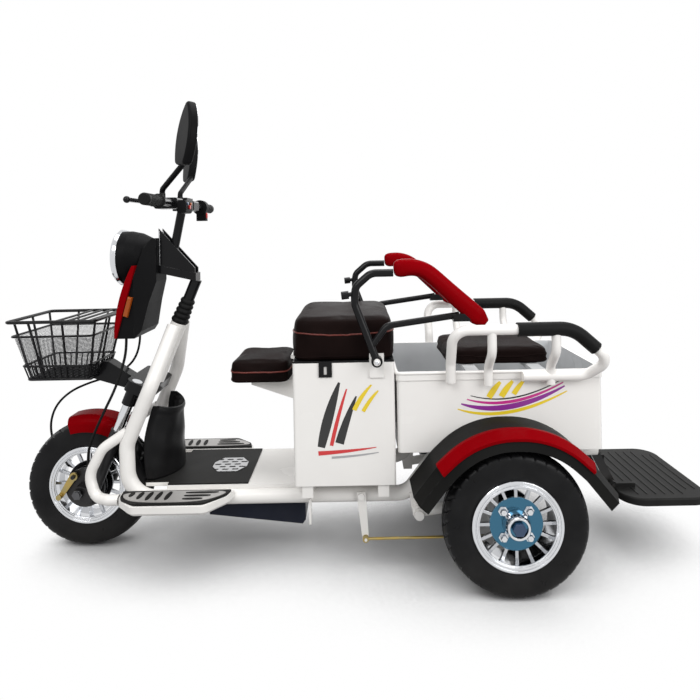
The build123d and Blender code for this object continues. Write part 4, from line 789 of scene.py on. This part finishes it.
# share of the height, and inset as a share of the length
padLayers = [
    (0.0, 0.010), (0.04, 0.004), (0.14, 0.0), (0.78, 0.0), (0.87, 0.003), (0.93, 0.010), (0.97, 0.024),
    (0.99, 0.048), (1.0, 0.095),
]
padLook = {"around": 120, "drawn": 0.002, "corner": 8.0, "shrink": 0.4}
clothLook = {"frames": 20, "quality": 4, "mass": 0.4, "pressure": 4.0, "held": 0.006}
weltLook = {
    "around": 160, "drawn": 0.004, "wider": 1.1, "lift": 0.0002, "radius": 0.0022,
    "hemRise": 0.006, "hemRadius": 0.0018,
}


def padOutline(halfX, halfY, count, drawn):
    corner = padLook["corner"]
    points = []
    for angle in ringAngles(count):
        c, s = math.cos(angle), math.sin(angle)
        radius = (abs(c) ** corner + abs(s) ** corner) ** (-1 / corner)
        x, y = radius * c, radius * s
        pull = drawn * (1 - min(1.0, abs(x * y)) ** 0.5)
        points.append((x * (halfX - pull), y * (halfY - pull)))
    return points


def padPoints(low, high, shrink):
    middle = (low + high) / 2
    halfX, halfY = (high.x - low.x) / 2 - shrink, (high.y - low.y) / 2 - shrink
    points = []
    for share, part in padLayers:
        inset = part * (high.x - low.x)
        z = low.z + share * (high.z - low.z - shrink)
        for x, y in padOutline(halfX - inset, halfY - inset, padLook["around"], padLook["drawn"]):
            points.append(Vector((middle.x + x, middle.y + y, z)))
    return points


def blowUp(pad, settings, floorZ):
    remesh = pad.modifiers.new("even", "REMESH")
    remesh.mode = "VOXEL"
    remesh.voxel_size = settings["voxel"]
    even = bakedMesh(pad)
    pad.modifiers.clear()
    pad.data = even
    rest = [v.co.copy() for v in even.vertices]
    held = pad.vertex_groups.new(name="held")
    low = floorZ + clothLook["held"]
    held.add([v.index for v in even.vertices if v.co.z < low], 1.0, "REPLACE")
    cloth = pad.modifiers.new("cloth", "CLOTH").settings
    cloth.quality = clothLook["quality"]
    cloth.mass = clothLook["mass"]
    cloth.use_pressure = True
    cloth.uniform_pressure_force = clothLook["pressure"]
    cloth.vertex_group_mass = "held"
    cloth.effector_weights.gravity = 0.0
    for number in range(1, clothLook["frames"] + 1):
        scene.frame_set(number)
    blown = pad.evaluated_get(bpy.context.evaluated_depsgraph_get()).to_mesh()
    moved = [v.co.copy() for v in blown.vertices]
    pad.modifiers.clear()
    scene.frame_set(1)
    for vertex, start, end in zip(even.vertices, rest, moved):
        step = end - start
        if step.length > settings["cap"]:
            step *= settings["cap"] / step.length
        vertex.co = start + step
    even.update()
    relax = pad.modifiers.new("relax", "SMOOTH")
    relax.iterations = 4
    relax.factor = 0.5
    finer = pad.modifiers.new("finer", "SUBSURF")
    finer.levels = 1
    finer.render_levels = 1
    final = bakedMesh(pad)
    pad.modifiers.clear()
    pad.data = final
    final.shade_smooth()


def surfaceLoop(pad, points, lift):
    places = [v.co for v in pad.data.vertices]
    tree = BVHTree.FromPolygons(places, [tuple(p.vertices) for p in pad.data.polygons])
    loop = []
    for point in points:
        place, normal, index, distance = tree.find_nearest(point)
        loop.append(place + normal * lift)
    return loop


def addCushion(name, settings):
    low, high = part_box(settings["node"])
    body = settings["body"]
    points = padPoints(low, high, settings["cap"] * padLook["shrink"])
    faces = tubeFaces(len(padLayers), padLook["around"])
    pad = addMesh(name, points, faces, "leatherette", None, smooth=60)
    blowUp(pad, settings, low.z)
    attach(pad, settings["body"])
    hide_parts(settings["node"])
    middle = (low + high) / 2
    height = low.z + settings["piping"] * (high.z - low.z)
    half, wider = (high - low) / 2, weltLook["wider"]
    outline = padOutline(half.x, half.y, weltLook["around"], weltLook["drawn"])
    ring = [Vector((middle.x + x * wider, middle.y + y * wider, height)) for x, y in outline]
    loop = surfaceLoop(pad, ring, weltLook["lift"])
    welt = settings.get("welt", "piping")
    addCurve(name + "Piping", loop, weltLook["radius"], welt, body, cyclic=True)
    hem = surfaceLoop(pad, [Vector((p.x, p.y, low.z + weltLook["hemRise"])) for p in ring], 0.0)
    addCurve(name + "Hem", hem, weltLook["hemRadius"], "leatherette", body, cyclic=True)


for cushionName, settings in cushionLook.items():
    addCushion(cushionName, settings)
print("cushions made")

# red arm pads, a swept roll with rounded ends
armPadLook = {
    "front": (0.1153, 0.840), "corner": (0.189, 0.840), "rear": (0.362, 0.686), "bend": 0.10, "steps": 40,
    "middleY": 0.230, "high": 0.054, "wide": 0.040, "slack": 0.002, "square": 2.8, "around": 40,
    "endReach": 0.024, "cap": 0.004, "voxel": 0.004, "fill": 0.85,
}


def bentLine(look):
    a, b, c = (Vector(look[key]) for key in ("front", "corner", "rear"))
    into, out = (b - a).normalized(), (c - b).normalized()
    turn = into.angle(out)
    back = look["bend"] * math.tan(turn / 2)
    first, last = b - into * back, b + out * back
    arm = -look["bend"] * Vector((into.y, -into.x))
    places = [a + (first - a) * step / 8 for step in range(9)]
    steps = look["steps"] - 16
    for step in range(1, steps):
        cos, sin = math.cos(turn * step / steps), math.sin(turn * step / steps)
        places.append(first - arm + Vector((arm.x * cos + arm.y * sin, arm.y * cos - arm.x * sin)))
    return places + [last + (c - last) * step / 7 for step in range(8)]


def addArmPad(side, sign, look):
    line = bentLine(look)
    length = sum((b - a).length for a, b in zip(line, line[1:]))
    halfHigh, halfWide = look["high"] / 2 - look["slack"], look["wide"] / 2 - look["slack"]
    square = look["square"]
    points = []
    run = 0.0
    for index, place in enumerate(line):
        if index:
            run += (place - line[index - 1]).length
        ahead = (line[min(index + 1, len(line) - 1)] - line[max(index - 1, 0)]).normalized()
        near = min(1.0, min(run, length - run) / look["endReach"])
        size = 0.5 + 0.5 * math.sqrt(max(0.0, 1 - (1 - near) ** 2))
        for angle in ringAngles(look["around"]):
            c, s = math.cos(angle), math.sin(angle)
            swell = size * (abs(c) ** square + abs(s) ** square) ** (-1 / square)
            up, out = halfHigh * swell * s, halfWide * swell * c
            x, z = place.x - ahead.y * up, place.y + ahead.x * up
            points.append(Vector((x, sign * look["middleY"] + out, z)))
    faces = tubeFaces(len(line), look["around"])
    pad = addMesh("armPad" + side, points, faces, "redGloss", None, smooth=70)
    blowUp(pad, look, -1.0)
    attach(pad, "arm_left" if sign < 0 else "arm_right")
    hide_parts("arm_pad_left" if sign < 0 else "arm_pad_right")


for side, sign in sideSigns.items():
    addArmPad(side, sign, armPadLook)
print("arm pads made")

# wire basket with a fine net
basketLook = {
    "middleX": -0.8675, "halfX": 0.1325, "halfY": 0.128, "bottom": 0.515, "top": 0.700, "taper": 0.042,
    "corner": 0.016, "rim": 0.005, "hoop": 0.0034, "foot": 0.004, "footRise": 0.006, "strong": 0.0035,
    "wire": 0.0022, "uprights": 40, "netTop": 0.652, "netFoot": 0.562, "netRise": 0.012, "netInset": 0.0075,
    "crossRise": 0.004, "handles": (-0.758, -0.790, -0.822, -0.854), "handleDrop": 0.0045,
    "handleInset": 0.012,
}


def roundedPath(halfX, halfY, corner, count):
    # evenly spaced points on a rectangle with round corners
    straightX, straightY = 2 * (halfX - corner), 2 * (halfY - corner)
    bend = math.pi * corner / 2
    total = 2 * (straightX + straightY) + 4 * bend
    places = []
    for step in range(count):
        left = total * step / count
        for quarter in range(4):
            straight = straightY if quarter % 2 == 0 else straightX
            out = halfX if quarter % 2 == 0 else halfY
            if left <= straight:
                u, v = out, left - straight / 2
                break
            left -= straight
            if left <= bend:
                angle = left / corner
                u = out - corner + corner * math.cos(angle)
                v = straight / 2 + corner * math.sin(angle)
                break
            left -= bend
        c, s = math.cos(quarter * math.pi / 2), math.sin(quarter * math.pi / 2)
        places.append((u * c - v * s, u * s + v * c))
    return places


def basketOutline(z, look, count, inset):
    share = (look["top"] - z) / (look["top"] - look["bottom"])
    shrink = look["taper"] * share + inset
    outline = roundedPath(look["halfX"] - shrink, look["halfY"] - shrink, look["corner"] - inset, count)
    return [Vector((look["middleX"] + x, y, z)) for x, y in outline]


def addWire(name, route, radius, cyclic=False):
    return addCurve(name, route, radius, "blackPaint", "steering", cyclic)


def addBasket(look):
    low = look["bottom"] + look["footRise"]
    levels = {
        "rim": (look["top"] - look["rim"], look["rim"]), "upper": (look["netTop"], look["hoop"]),
        "lower": (look["netFoot"], look["hoop"]), "foot": (low, look["foot"]),
    }
    for number, (z, thick) in enumerate(levels.values()):
        outline = basketOutline(z, look, 120, thick)
        addWire("basketHoop%d" % number, outline, thick, cyclic=True)
    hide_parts("basket")
    tops, middles, feet = (
        basketOutline(levels[key][0], look, look["uprights"], levels[key][1])
        for key in ("rim", "lower", "foot"))
    for number, (top, middle, foot) in enumerate(zip(tops, middles, feet)):
        strong = number % 4 == 0
        route = [top, middle, foot] if strong else [middle, foot]
        addWire("basketUpright%d" % number, route, look["strong"] if strong else look["wire"])
    inset = look["taper"] + look["foot"]
    middleX, halfX, halfY = look["middleX"], look["halfX"] - inset, look["halfY"] - inset
    for number in range(9):
        share = (number - 4) / 5.0
        reach = (1 - abs(share) ** 9) ** (1 / 9)
        ends = [(middleX + sign * halfX * reach, share * halfY, low) for sign in (-1, 1)]
        addWire("basketBase%d" % number, ends, look["wire"])
        ends = [(middleX + share * halfX, sign * halfY * reach, low + look["crossRise"]) for sign in (-1, 1)]
        addWire("basketCross%d" % number, ends, look["wire"])
    # handle folded down over the rear half
    high, span = look["top"] - look["handleDrop"], look["halfY"] - look["handleInset"]
    for number, x in enumerate(look["handles"]):
        addWire("basketHandle%d" % number, [(x, -span, high), (x, span, high)], look["hoop"])
    # net between the upper hoop and the base
    rows, columns = 24, 200
    foot = look["bottom"] + look["netRise"]
    points = []
    for row in range(rows):
        z = foot + (look["netTop"] - foot) * row / (rows - 1)
        points.extend(basketOutline(z, look, columns, look["netInset"]))
    faces = gridFaces(rows, columns, wrapColumns=True)
    addMesh("basketNet", points, faces, "netGrey", "steering")


addBasket(basketLook)
print("basket made")

# rubber boot on the steering column
bootLook = {
    "head": (-0.533, 0.0, 0.669), "rake": 23.0, "length": 0.078, "ribs": 5, "low": 0.024, "high": 0.0185,
    "rib": 0.0042, "bore": 0.0174,
}


def addBoot(look):
    bore, low, high = look["bore"], look["low"], look["high"]
    profile = [(bore, 0.0003), (low - 0.001, 0.0003)]
    pitch = look["length"] / look["ribs"]
    for number in range(look["ribs"]):
        for step in range(10):
            ribs = number + step / 10
            middle = low + (high - low) * ribs / look["ribs"]
            wave = abs(math.sin(math.pi * step / 10)) ** 0.8
            profile.append((middle - 0.001 + look["rib"] * wave, 0.0005 + pitch * ribs))
    profile += [(high, look["length"]), (bore, look["length"])]
    place = Matrix.Translation(look["head"]) @ turned(look["rake"], "Y")
    boot = addTurned("steeringBoot", profile, 72, place, "blackRubber", "steering",
                     closed=True, smooth=50)
    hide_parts("bellows")


addBoot(bootLook)

# grips with rings cut in the rubber
gripLook = {
    "bar": (-0.515, 0.0, 1.031), "inner": 0.216, "outer": 0.320, "radius": 0.016, "bore": 0.01108,
    "flange": 0.020, "rings": 15, "cut": 0.0012,
}


def addGrip(side, sign, look):
    r, flange, inner, outer = look["radius"], look["flange"], look["inner"], look["outer"]
    profile = [(look["bore"], inner), (flange - 0.001, inner), (flange, inner + 0.001),
               (flange, inner + 0.004), (r, inner + 0.006)]
    start, stop = inner + 0.008, outer - 0.014
    step, low = (stop - start) / look["rings"], r - look["cut"]
    for number in range(look["rings"]):
        at = start + step * number
        profile += [(r, at), (r, at + 0.55 * step), (low, at + 0.62 * step), (low, at + 0.92 * step)]
    profile += [(r, stop), (r, outer - 0.003), (r - 0.003, outer), (0.0005, outer)]
    body = "steering" if sign < 0 else "throttle"
    place = outwardPlace(look["bar"], sign)
    grip = addTurned("grip" + side, profile, 48, place, "blackRubber", body, smooth=30)
    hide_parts("grip_left" if sign < 0 else "throttle_grip")


for side, sign in sideSigns.items():
    addGrip(side, sign, gripLook)
print("boot and grips made")

# mirror glass, set in the rear of each mirror shell
mirrorLook = {
    "place": (-0.430, 0.226, 1.213), "base": (-0.549, 0.084, 0.0), "tilt": 8.0, "yaw": 35.0,
    "rightSwing": 45.0, "rightTurn": 20.0, "wide": 0.092, "high": 0.160, "face": 0.0131, "around": 64,
    # depth from the face, share of the outline
    "layers": [(-0.003, 1.0), (0.0004, 1.0), (0.0008, 0.97)],
}


def leafOutline(wide, high, count):
    points = []
    for angle in ringAngles(count):
        c, s = math.cos(angle), math.sin(angle)
        narrow = 1.0 - 0.42 * max(0.0, s) ** 1.6
        points.append((0.5 * wide * c * narrow * (abs(c) ** 0.1), 0.5 * high * s))
    return points


def addMirrorGlass(side, sign, look):
    x, y, z = look["place"]
    yaw = look["rightTurn"] - look["yaw"] if sign > 0 else look["yaw"]
    place = Matrix.Translation((x, sign * y, z)) @ turned(look["tilt"], "Y") @ turned(yaw, "Z")
    if sign > 0:
        stand = Matrix.Translation(look["base"])
        place = stand @ turned(look["rightSwing"], "Z") @ stand.inverted() @ place
    points = []
    for depth, share in look["layers"]:
        for y, z in leafOutline(look["wide"] * share, look["high"] * share, look["around"]):
            points.append(place @ Vector((look["face"] + depth, sign * y, z)))
    faces = tubeFaces(len(look["layers"]), look["around"])
    addMesh("mirrorGlass" + side, points, faces, "chrome", side.lower() + "_mirror")


for side, sign in sideSigns.items():
    addMirrorGlass(side, sign, mirrorLook)

# headlight reflector and bulb behind the lens
lampLook = {"centre": (-0.692, 0.0, 0.872), "radius": 0.0655, "depth": 0.027, "neck": 0.006}


def addReflector(look):
    depth = look["depth"]
    bowl = []
    for step in range(15):
        left = 1 - step / 14
        bowl.append((look["radius"] * left + look["neck"] * (1 - left), depth * (1 - left ** 2) * 0.98))
    bowl += [(0.0055, depth * 0.9), (0.0055, 0.012), (0.004, 0.006), (0.0005, 0.004)]
    forward = Matrix.Translation(look["centre"]) @ turned(90, "Y")
    addTurned("lampReflector", bowl, 64, forward, "chrome", "steering", smooth=50)


addReflector(lampLook)
print("mirrors and lamp made")

# foot pads: grey inlays with dark bars
footLook = {
    "front": -0.648, "rear": -0.346, "inner": 0.1583, "outer": 0.236, "top": 0.222, "edge": 0.006,
    "sunk": 0.001, "inlay": 0.0012, "bar": 0.0028, "bars": 5, "ribs": 3,
}


def slab(name, outline, z0, z1, finish, body, slotName):
    points = [Vector((x, y, z)) for z in (z0, z1) for x, y in outline]
    return addMesh(name, points, tubeFaces(2, len(outline)), finish, body, smooth=25)


def softOutline(corners, rounds):
    for step in range(rounds):
        cut = []
        for (ax, ay), (bx, by) in zip(corners, corners[1:] + corners[:1]):
            cut.append((0.75 * ax + 0.25 * bx, 0.75 * ay + 0.25 * by))
            cut.append((0.25 * ax + 0.75 * bx, 0.25 * ay + 0.75 * by))
        corners = cut
    return corners


def sideOutline(corners, rounds, sign):
    return [(x, sign * y) for x, y in softOutline(corners, rounds)]


def addFootInlays(side, sign, look):
    edge, top = look["edge"], look["top"]
    front, rear = look["front"] + edge, look["rear"] - edge
    inner, outer = look["inner"] + edge, look["outer"] - edge
    corners = [(front, inner), (rear, inner), (rear - 0.010, inner + 0.030), (rear - 0.066, outer),
               (front + 0.060, outer), (front + 0.008, inner + 0.040)]
    outline = sideOutline(corners, 3, sign)
    slab("footInlay" + side, outline, top - look["sunk"], top + look["inlay"], "greyInlay", "frame", "steel")
    strips = {}
    for number in range(look["bars"]):
        x = front + 0.022 + 0.026 * number
        reach = outer - 0.012 if number > 1 else outer - 0.034 + 0.014 * number
        strips["footBar%s%d" % (side, number)] = [
            (x, inner + 0.008), (x + 0.013, inner + 0.006), (x + 0.010, reach), (x - 0.002, reach)]
    for number in range(look["ribs"]):
        y = inner + 0.009 + 0.018 * number
        start, stop = rear - 0.115, rear - 0.020 - 0.018 * number
        strips["footRib%s%d" % (side, number)] = [
            (start, y), (stop, y), (stop - 0.010, y + 0.009), (start, y + 0.009)]
    for name, corners in strips.items():
        outline = sideOutline(corners, 2, sign)
        slab(name, outline, top, top + look["bar"], "blackRubber", "frame", "rubber_black")


for side, sign in sideSigns.items():
    addFootInlays(side, sign, footLook)

# plain sticker ribbons on the box sides
stripeLook = {
    # finish, start, middle, end, and the width at each
    "Seat": {"wall": 0.2052, "ribbons": [
        ("stripeBlack", (-0.088, 0.352), (-0.068, 0.440), (-0.036, 0.528), (0.020, 0.040, 0.006)),
        ("stripeRed", (-0.060, 0.356), (-0.042, 0.435), (-0.016, 0.510), (0.010, 0.012, 0.004)),
        ("stripeBlack", (-0.038, 0.362), (-0.018, 0.430), (0.010, 0.490), (0.024, 0.022, 0.004)),
        ("stripeYellow", (0.004, 0.452), (0.022, 0.490), (0.052, 0.520), (0.012, 0.014, 0.004)),
        ("stripeYellow", (0.028, 0.448), (0.046, 0.480), (0.070, 0.504), (0.010, 0.012, 0.004)),
        ("stripeRed", (-0.096, 0.336), (-0.010, 0.340), (0.062, 0.350), (0.012, 0.009, 0.002)),
        ("stripeGrey", (-0.060, 0.324), (0.010, 0.327), (0.068, 0.336), (0.006, 0.006, 0.002)),
    ]},
    "Cargo": {"wall": 0.2002, "ribbons": [
        ("stripePurple", (0.296, 0.462), (0.420, 0.420), (0.580, 0.506), (0.004, 0.026, 0.004)),
        ("stripeMagenta", (0.312, 0.474), (0.430, 0.438), (0.576, 0.516), (0.003, 0.014, 0.003)),
        ("stripeYellow", (0.286, 0.448), (0.414, 0.404), (0.586, 0.492), (0.003, 0.016, 0.003)),
        ("stripeBlack", (0.322, 0.484), (0.436, 0.450), (0.572, 0.524), (0.002, 0.006, 0.002)),
        ("stripeYellow", (0.372, 0.478), (0.384, 0.498), (0.404, 0.520), (0.016, 0.020, 0.008)),
        ("stripeYellow", (0.406, 0.480), (0.418, 0.500), (0.438, 0.522), (0.016, 0.020, 0.008)),
        ("stripeYellow", (0.440, 0.486), (0.452, 0.506), (0.470, 0.524), (0.014, 0.016, 0.006)),
    ]},
}


def ribbonPoints(start, middle, end, widths, wall, steps=24):
    a, b, c = Vector(start), Vector(middle), Vector(end)
    points = []
    for step in range(steps + 1):
        t = step / steps
        weights = ((1 - t) ** 2, 2 * t * (1 - t), t * t)
        place = a * weights[0] + b * weights[1] + c * weights[2]
        along = ((b - a) * (1 - t) + (c - b) * t).normalized()
        half = 0.5 * sum(w * wide for w, wide in zip(weights, widths))
        for side in (-half, half):
            points.append(Vector((place.x - along.y * side, wall, place.y + along.x * side)))
    return points


def addStripes(look):
    for place, settings in look.items():
        for side, sign in sideSigns.items():
            for number, (finish, *ribbon) in enumerate(settings["ribbons"]):
                points = ribbonPoints(*ribbon, sign * (settings["wall"] + 0.0001 * number))
                faces = gridFaces(len(points) // 2, 2)
                name = "stripe%s%s%d" % (place, side, number)
                addMesh(name, points, faces, finish, "frame")


addStripes(stripeLook)
print("inlays and stripes made")

# soft cover behind the front wheel, with a rolled collar and folds
shroudLook = {
    # height, half width, front edge, rear reach
    "levels": [(0.2265, 0.103, -0.602, -0.524), (0.33, 0.105, -0.610, -0.525), (0.452, 0.073, -0.584, -0.525)],
    "rows": 40, "bend": 44, "straight": 6, "fold": 0.0032, "roll": 0.0045, "collar": 0.024, "skin": 0.0028,
    "head": (-0.533, 0.669), "rake": 23.0, "cut": -0.2265,
}


def shroudLevel(z, levels):
    # a parabola through the three levels
    weights = []
    for one in levels:
        others = [other[0] for other in levels if other is not one]
        weights.append(math.prod((z - other) / (one[0] - other) for other in others))
    return [sum(w * level[k] for w, level in zip(weights, levels)) for k in (1, 2, 3)]


def shroudPlace(share, look, z):
    wide, front, rear = shroudLevel(z, look["levels"])
    start = front + 0.020
    deep = rear - start
    radius = (wide * wide + deep * deep) / (2 * deep)
    centre = rear - radius
    angle = math.atan2(wide, start - centre) * (2 * share - 1)
    outward = Vector((math.cos(angle), math.sin(angle), 0))
    return Vector((centre, 0, z)) + radius * outward, outward, front


def shroudPoint(index, row, look):
    ends, bend = look["straight"], look["bend"]
    share = min(1.0, max(0.0, (index - ends) / bend))
    rake = math.radians(look["rake"])
    low, high = look["levels"][0][0], look["levels"][-1][0]
    edge = shroudPlace(share, look, high)[0]
    along = (look["cut"] - (edge.x - look["head"][0]) * math.sin(rake)) / math.cos(rake)
    top = min(high, look["head"][1] + along) - 0.001
    rise = row / (look["rows"] - 1)
    z = low + (top - low) * rise
    place, outward, front = shroudPlace(share, look, z)
    wave = math.sin(9.0 * share + 14.0 * rise) * math.sin(math.pi * rise)
    wave += 0.6 * math.sin(23.0 * share - 6.0 * rise)
    push = look["fold"] * (wave * 0.5 * min(1.0, 4.0 * rise) - 0.8)
    below = (top - z) / look["collar"]
    if below < 1.0:
        push = look["fold"] * -0.8 + look["roll"] * math.sin(math.pi * min(1.0, below + 0.12))
    place += outward * push
    beyond = max(ends - index, index - ends - bend, 0)
    place.x += (front - place.x) * beyond / ends
    return place


def addShroud(look):
    columns = look["bend"] + 2 * look["straight"] + 1
    points = [shroudPoint(index, row, look) for row in range(look["rows"]) for index in range(columns)]
    faces = gridFaces(look["rows"], columns)
    cover = addMesh("frontCover", points, faces, "softCover", "frame", smooth=60)
    thick = cover.modifiers.new("thick", "SOLIDIFY")
    thick.thickness = look["skin"]
    thick.offset = -1.0
    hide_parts("shroud")


addShroud(shroudLook)
print("front cover made")

# small fittings: buttons, bolt heads, ribs on the footboard and the rolled rim of the cargo box
fittingLook = {
    "buttons": [
        # name, finish, slot, middle, half across, half high, proud
        ("signalSlide", "orangeLens", "orange_lens", (-0.4707, -0.069, 1.0285), 0.006, 0.0045, 0.003),
        ("beamSlide", "capBlue", "blue_grey", (-0.4707, -0.101, 1.0285), 0.006, 0.0045, 0.003),
        ("driveSwitch", "redButton", "red_button", (-0.495, 0.1997, 1.003), 0.008, 0.010, 0.003),
    ],
    "strip": {"x": (-0.5847, -0.5812), "y": (0.0148, 0.0206), "z": (0.836, 0.952)},
    "bolt": {"place": (0.067, 0.2484, 0.590), "radius": 0.0068, "proud": 0.004},
    "rib": {
        "from": 0.80, "to": 0.975, "half": 0.150, "narrowFrom": 0.94, "narrow": 0.82, "top": 0.182,
        "count": 8, "wide": 0.007, "proud": 0.0016},
    "rim": {"middleX": 0.402, "halfX": 0.2825, "halfY": 0.2022, "z": 0.5478, "corner": 0.012, "radius": 0.0042},
}


def boxCorners(x0, x1, y0, y1):
    return [(x0, y0), (x1, y0), (x1, y1), (x0, y1)]


def addButton(name, finish, slotName, middle, half, high, proud):
    outline = softOutline(boxCorners(-half, half, -high, high), 3)
    points = []
    for depth, share in ((-0.001, 1.0), (0.7 * proud, 1.0), (proud, 0.8)):
        points += [Vector(middle) + Vector((depth, share * y, share * z)) for y, z in outline]
    count = len(outline)
    faces = gridFaces(3, count, wrapColumns=True)
    faces.append(tuple(range(2 * count, 3 * count)))
    addMesh(name, points, faces, finish, "steering", smooth=50)


def addFittings(look):
    for settings in look["buttons"]:
        addButton(*settings)
    strip = look["strip"]
    for side, sign in sideSigns.items():
        outline = sideOutline(boxCorners(*strip["x"], *strip["y"]), 1, sign)
        slab("bracketEdge" + side, outline, *strip["z"], "brightSteel", "steering", "steel")
    bolt = look["bolt"]
    (x, y, z), r, h = bolt["place"], bolt["radius"], bolt["proud"]
    dome = [(r, -0.001), (r, 0.3 * h), (0.85 * r, 0.7 * h), (0.5 * r, 0.95 * h), (0.0004, h)]
    for side, sign in sideSigns.items():
        place = outwardPlace((x, sign * y, z), sign)
        addTurned("armBolt" + side, dome, 24, place, "chrome", "frame", smooth=50)
    rib = look["rib"]
    low, high, w = rib["top"] - 0.001, rib["top"] + rib["proud"], rib["wide"] / 2
    for number in range(rib["count"]):
        x = rib["from"] + (rib["to"] - rib["from"]) * number / (rib["count"] - 1)
        reach = rib["half"] * (1.0 if x < rib["narrowFrom"] else rib["narrow"])
        outline = softOutline(boxCorners(x - w, x + w, -reach, reach), 2)
        slab("boardRib%d" % number, outline, low, high, "boardPlastic", "step", "dark_plastic")
    rim = look["rim"]
    line = roundedPath(rim["halfX"], rim["halfY"], rim["corner"], 200)
    route = [(rim["middleX"] + x, y, rim["z"]) for x, y in line]
    addCurve("cargoRim", route, rim["radius"], "whitePaint", "frame", cyclic=True)


addFittings(fittingLook)
print("fittings made")

# floor that fades out into the white background, keeping a dark grey painted shade under the object
floorLook = {
    "half": 4.0, "clear": 1.5, "gone": 3.2, "reach": 0.5, "dark": 0.28, "bright": 0.76, "rough": 0.7,
    "colour": (0.31, 0.31, 0.315), "shade": (0.335, 0.335, 0.34),
}


def addFloor(look):
    material, tree, shader = newMaterial("paintedShadeFloor")
    tone = placeEffect(tree, "patchyTone", Scale=2.0)
    tree.links.new(mixColour(tree, tone, look["colour"], look["shade"]), shader["Base Color"])
    shader["Roughness"].default_value = look["rough"]
    away = addNode(tree, "VectorMath", {0: objectPlace(tree)}, operation="LENGTH").outputs["Value"]
    # only the ground near the object stays: ambient occlusion shows the dark grey floor as painted shade where
    # the object occludes it, and the rest shows the white background
    near = addNode(tree, "AmbientOcclusion", {"Distance": look["reach"]}, samples=24).outputs["AO"]
    far = limit(tree, away, look["clear"], look["gone"])
    fadeAndPaintedShade = combine(tree, "MAXIMUM", far, limit(tree, near, look["dark"], look["bright"]))
    surface = tree.nodes["Principled BSDF"].outputs[0]
    clear = addNode(tree, "BsdfTransparent").outputs[0]
    mixed = addNode(tree, "MixShader", {0: fadeAndPaintedShade, 1: surface, 2: clear}).outputs[0]
    tree.links.new(mixed, tree.nodes["Material Output"].inputs["Surface"])
    finishes["paintedShadeFloor"] = material
    half = look["half"]
    points = [(x, y, 0) for x, y in boxCorners(-half, half, -half, half)]
    floor = addMesh("floor", points, [(0, 1, 2, 3)], "paintedShadeFloor", None)


addFloor(floorLook)
print("scene ready")
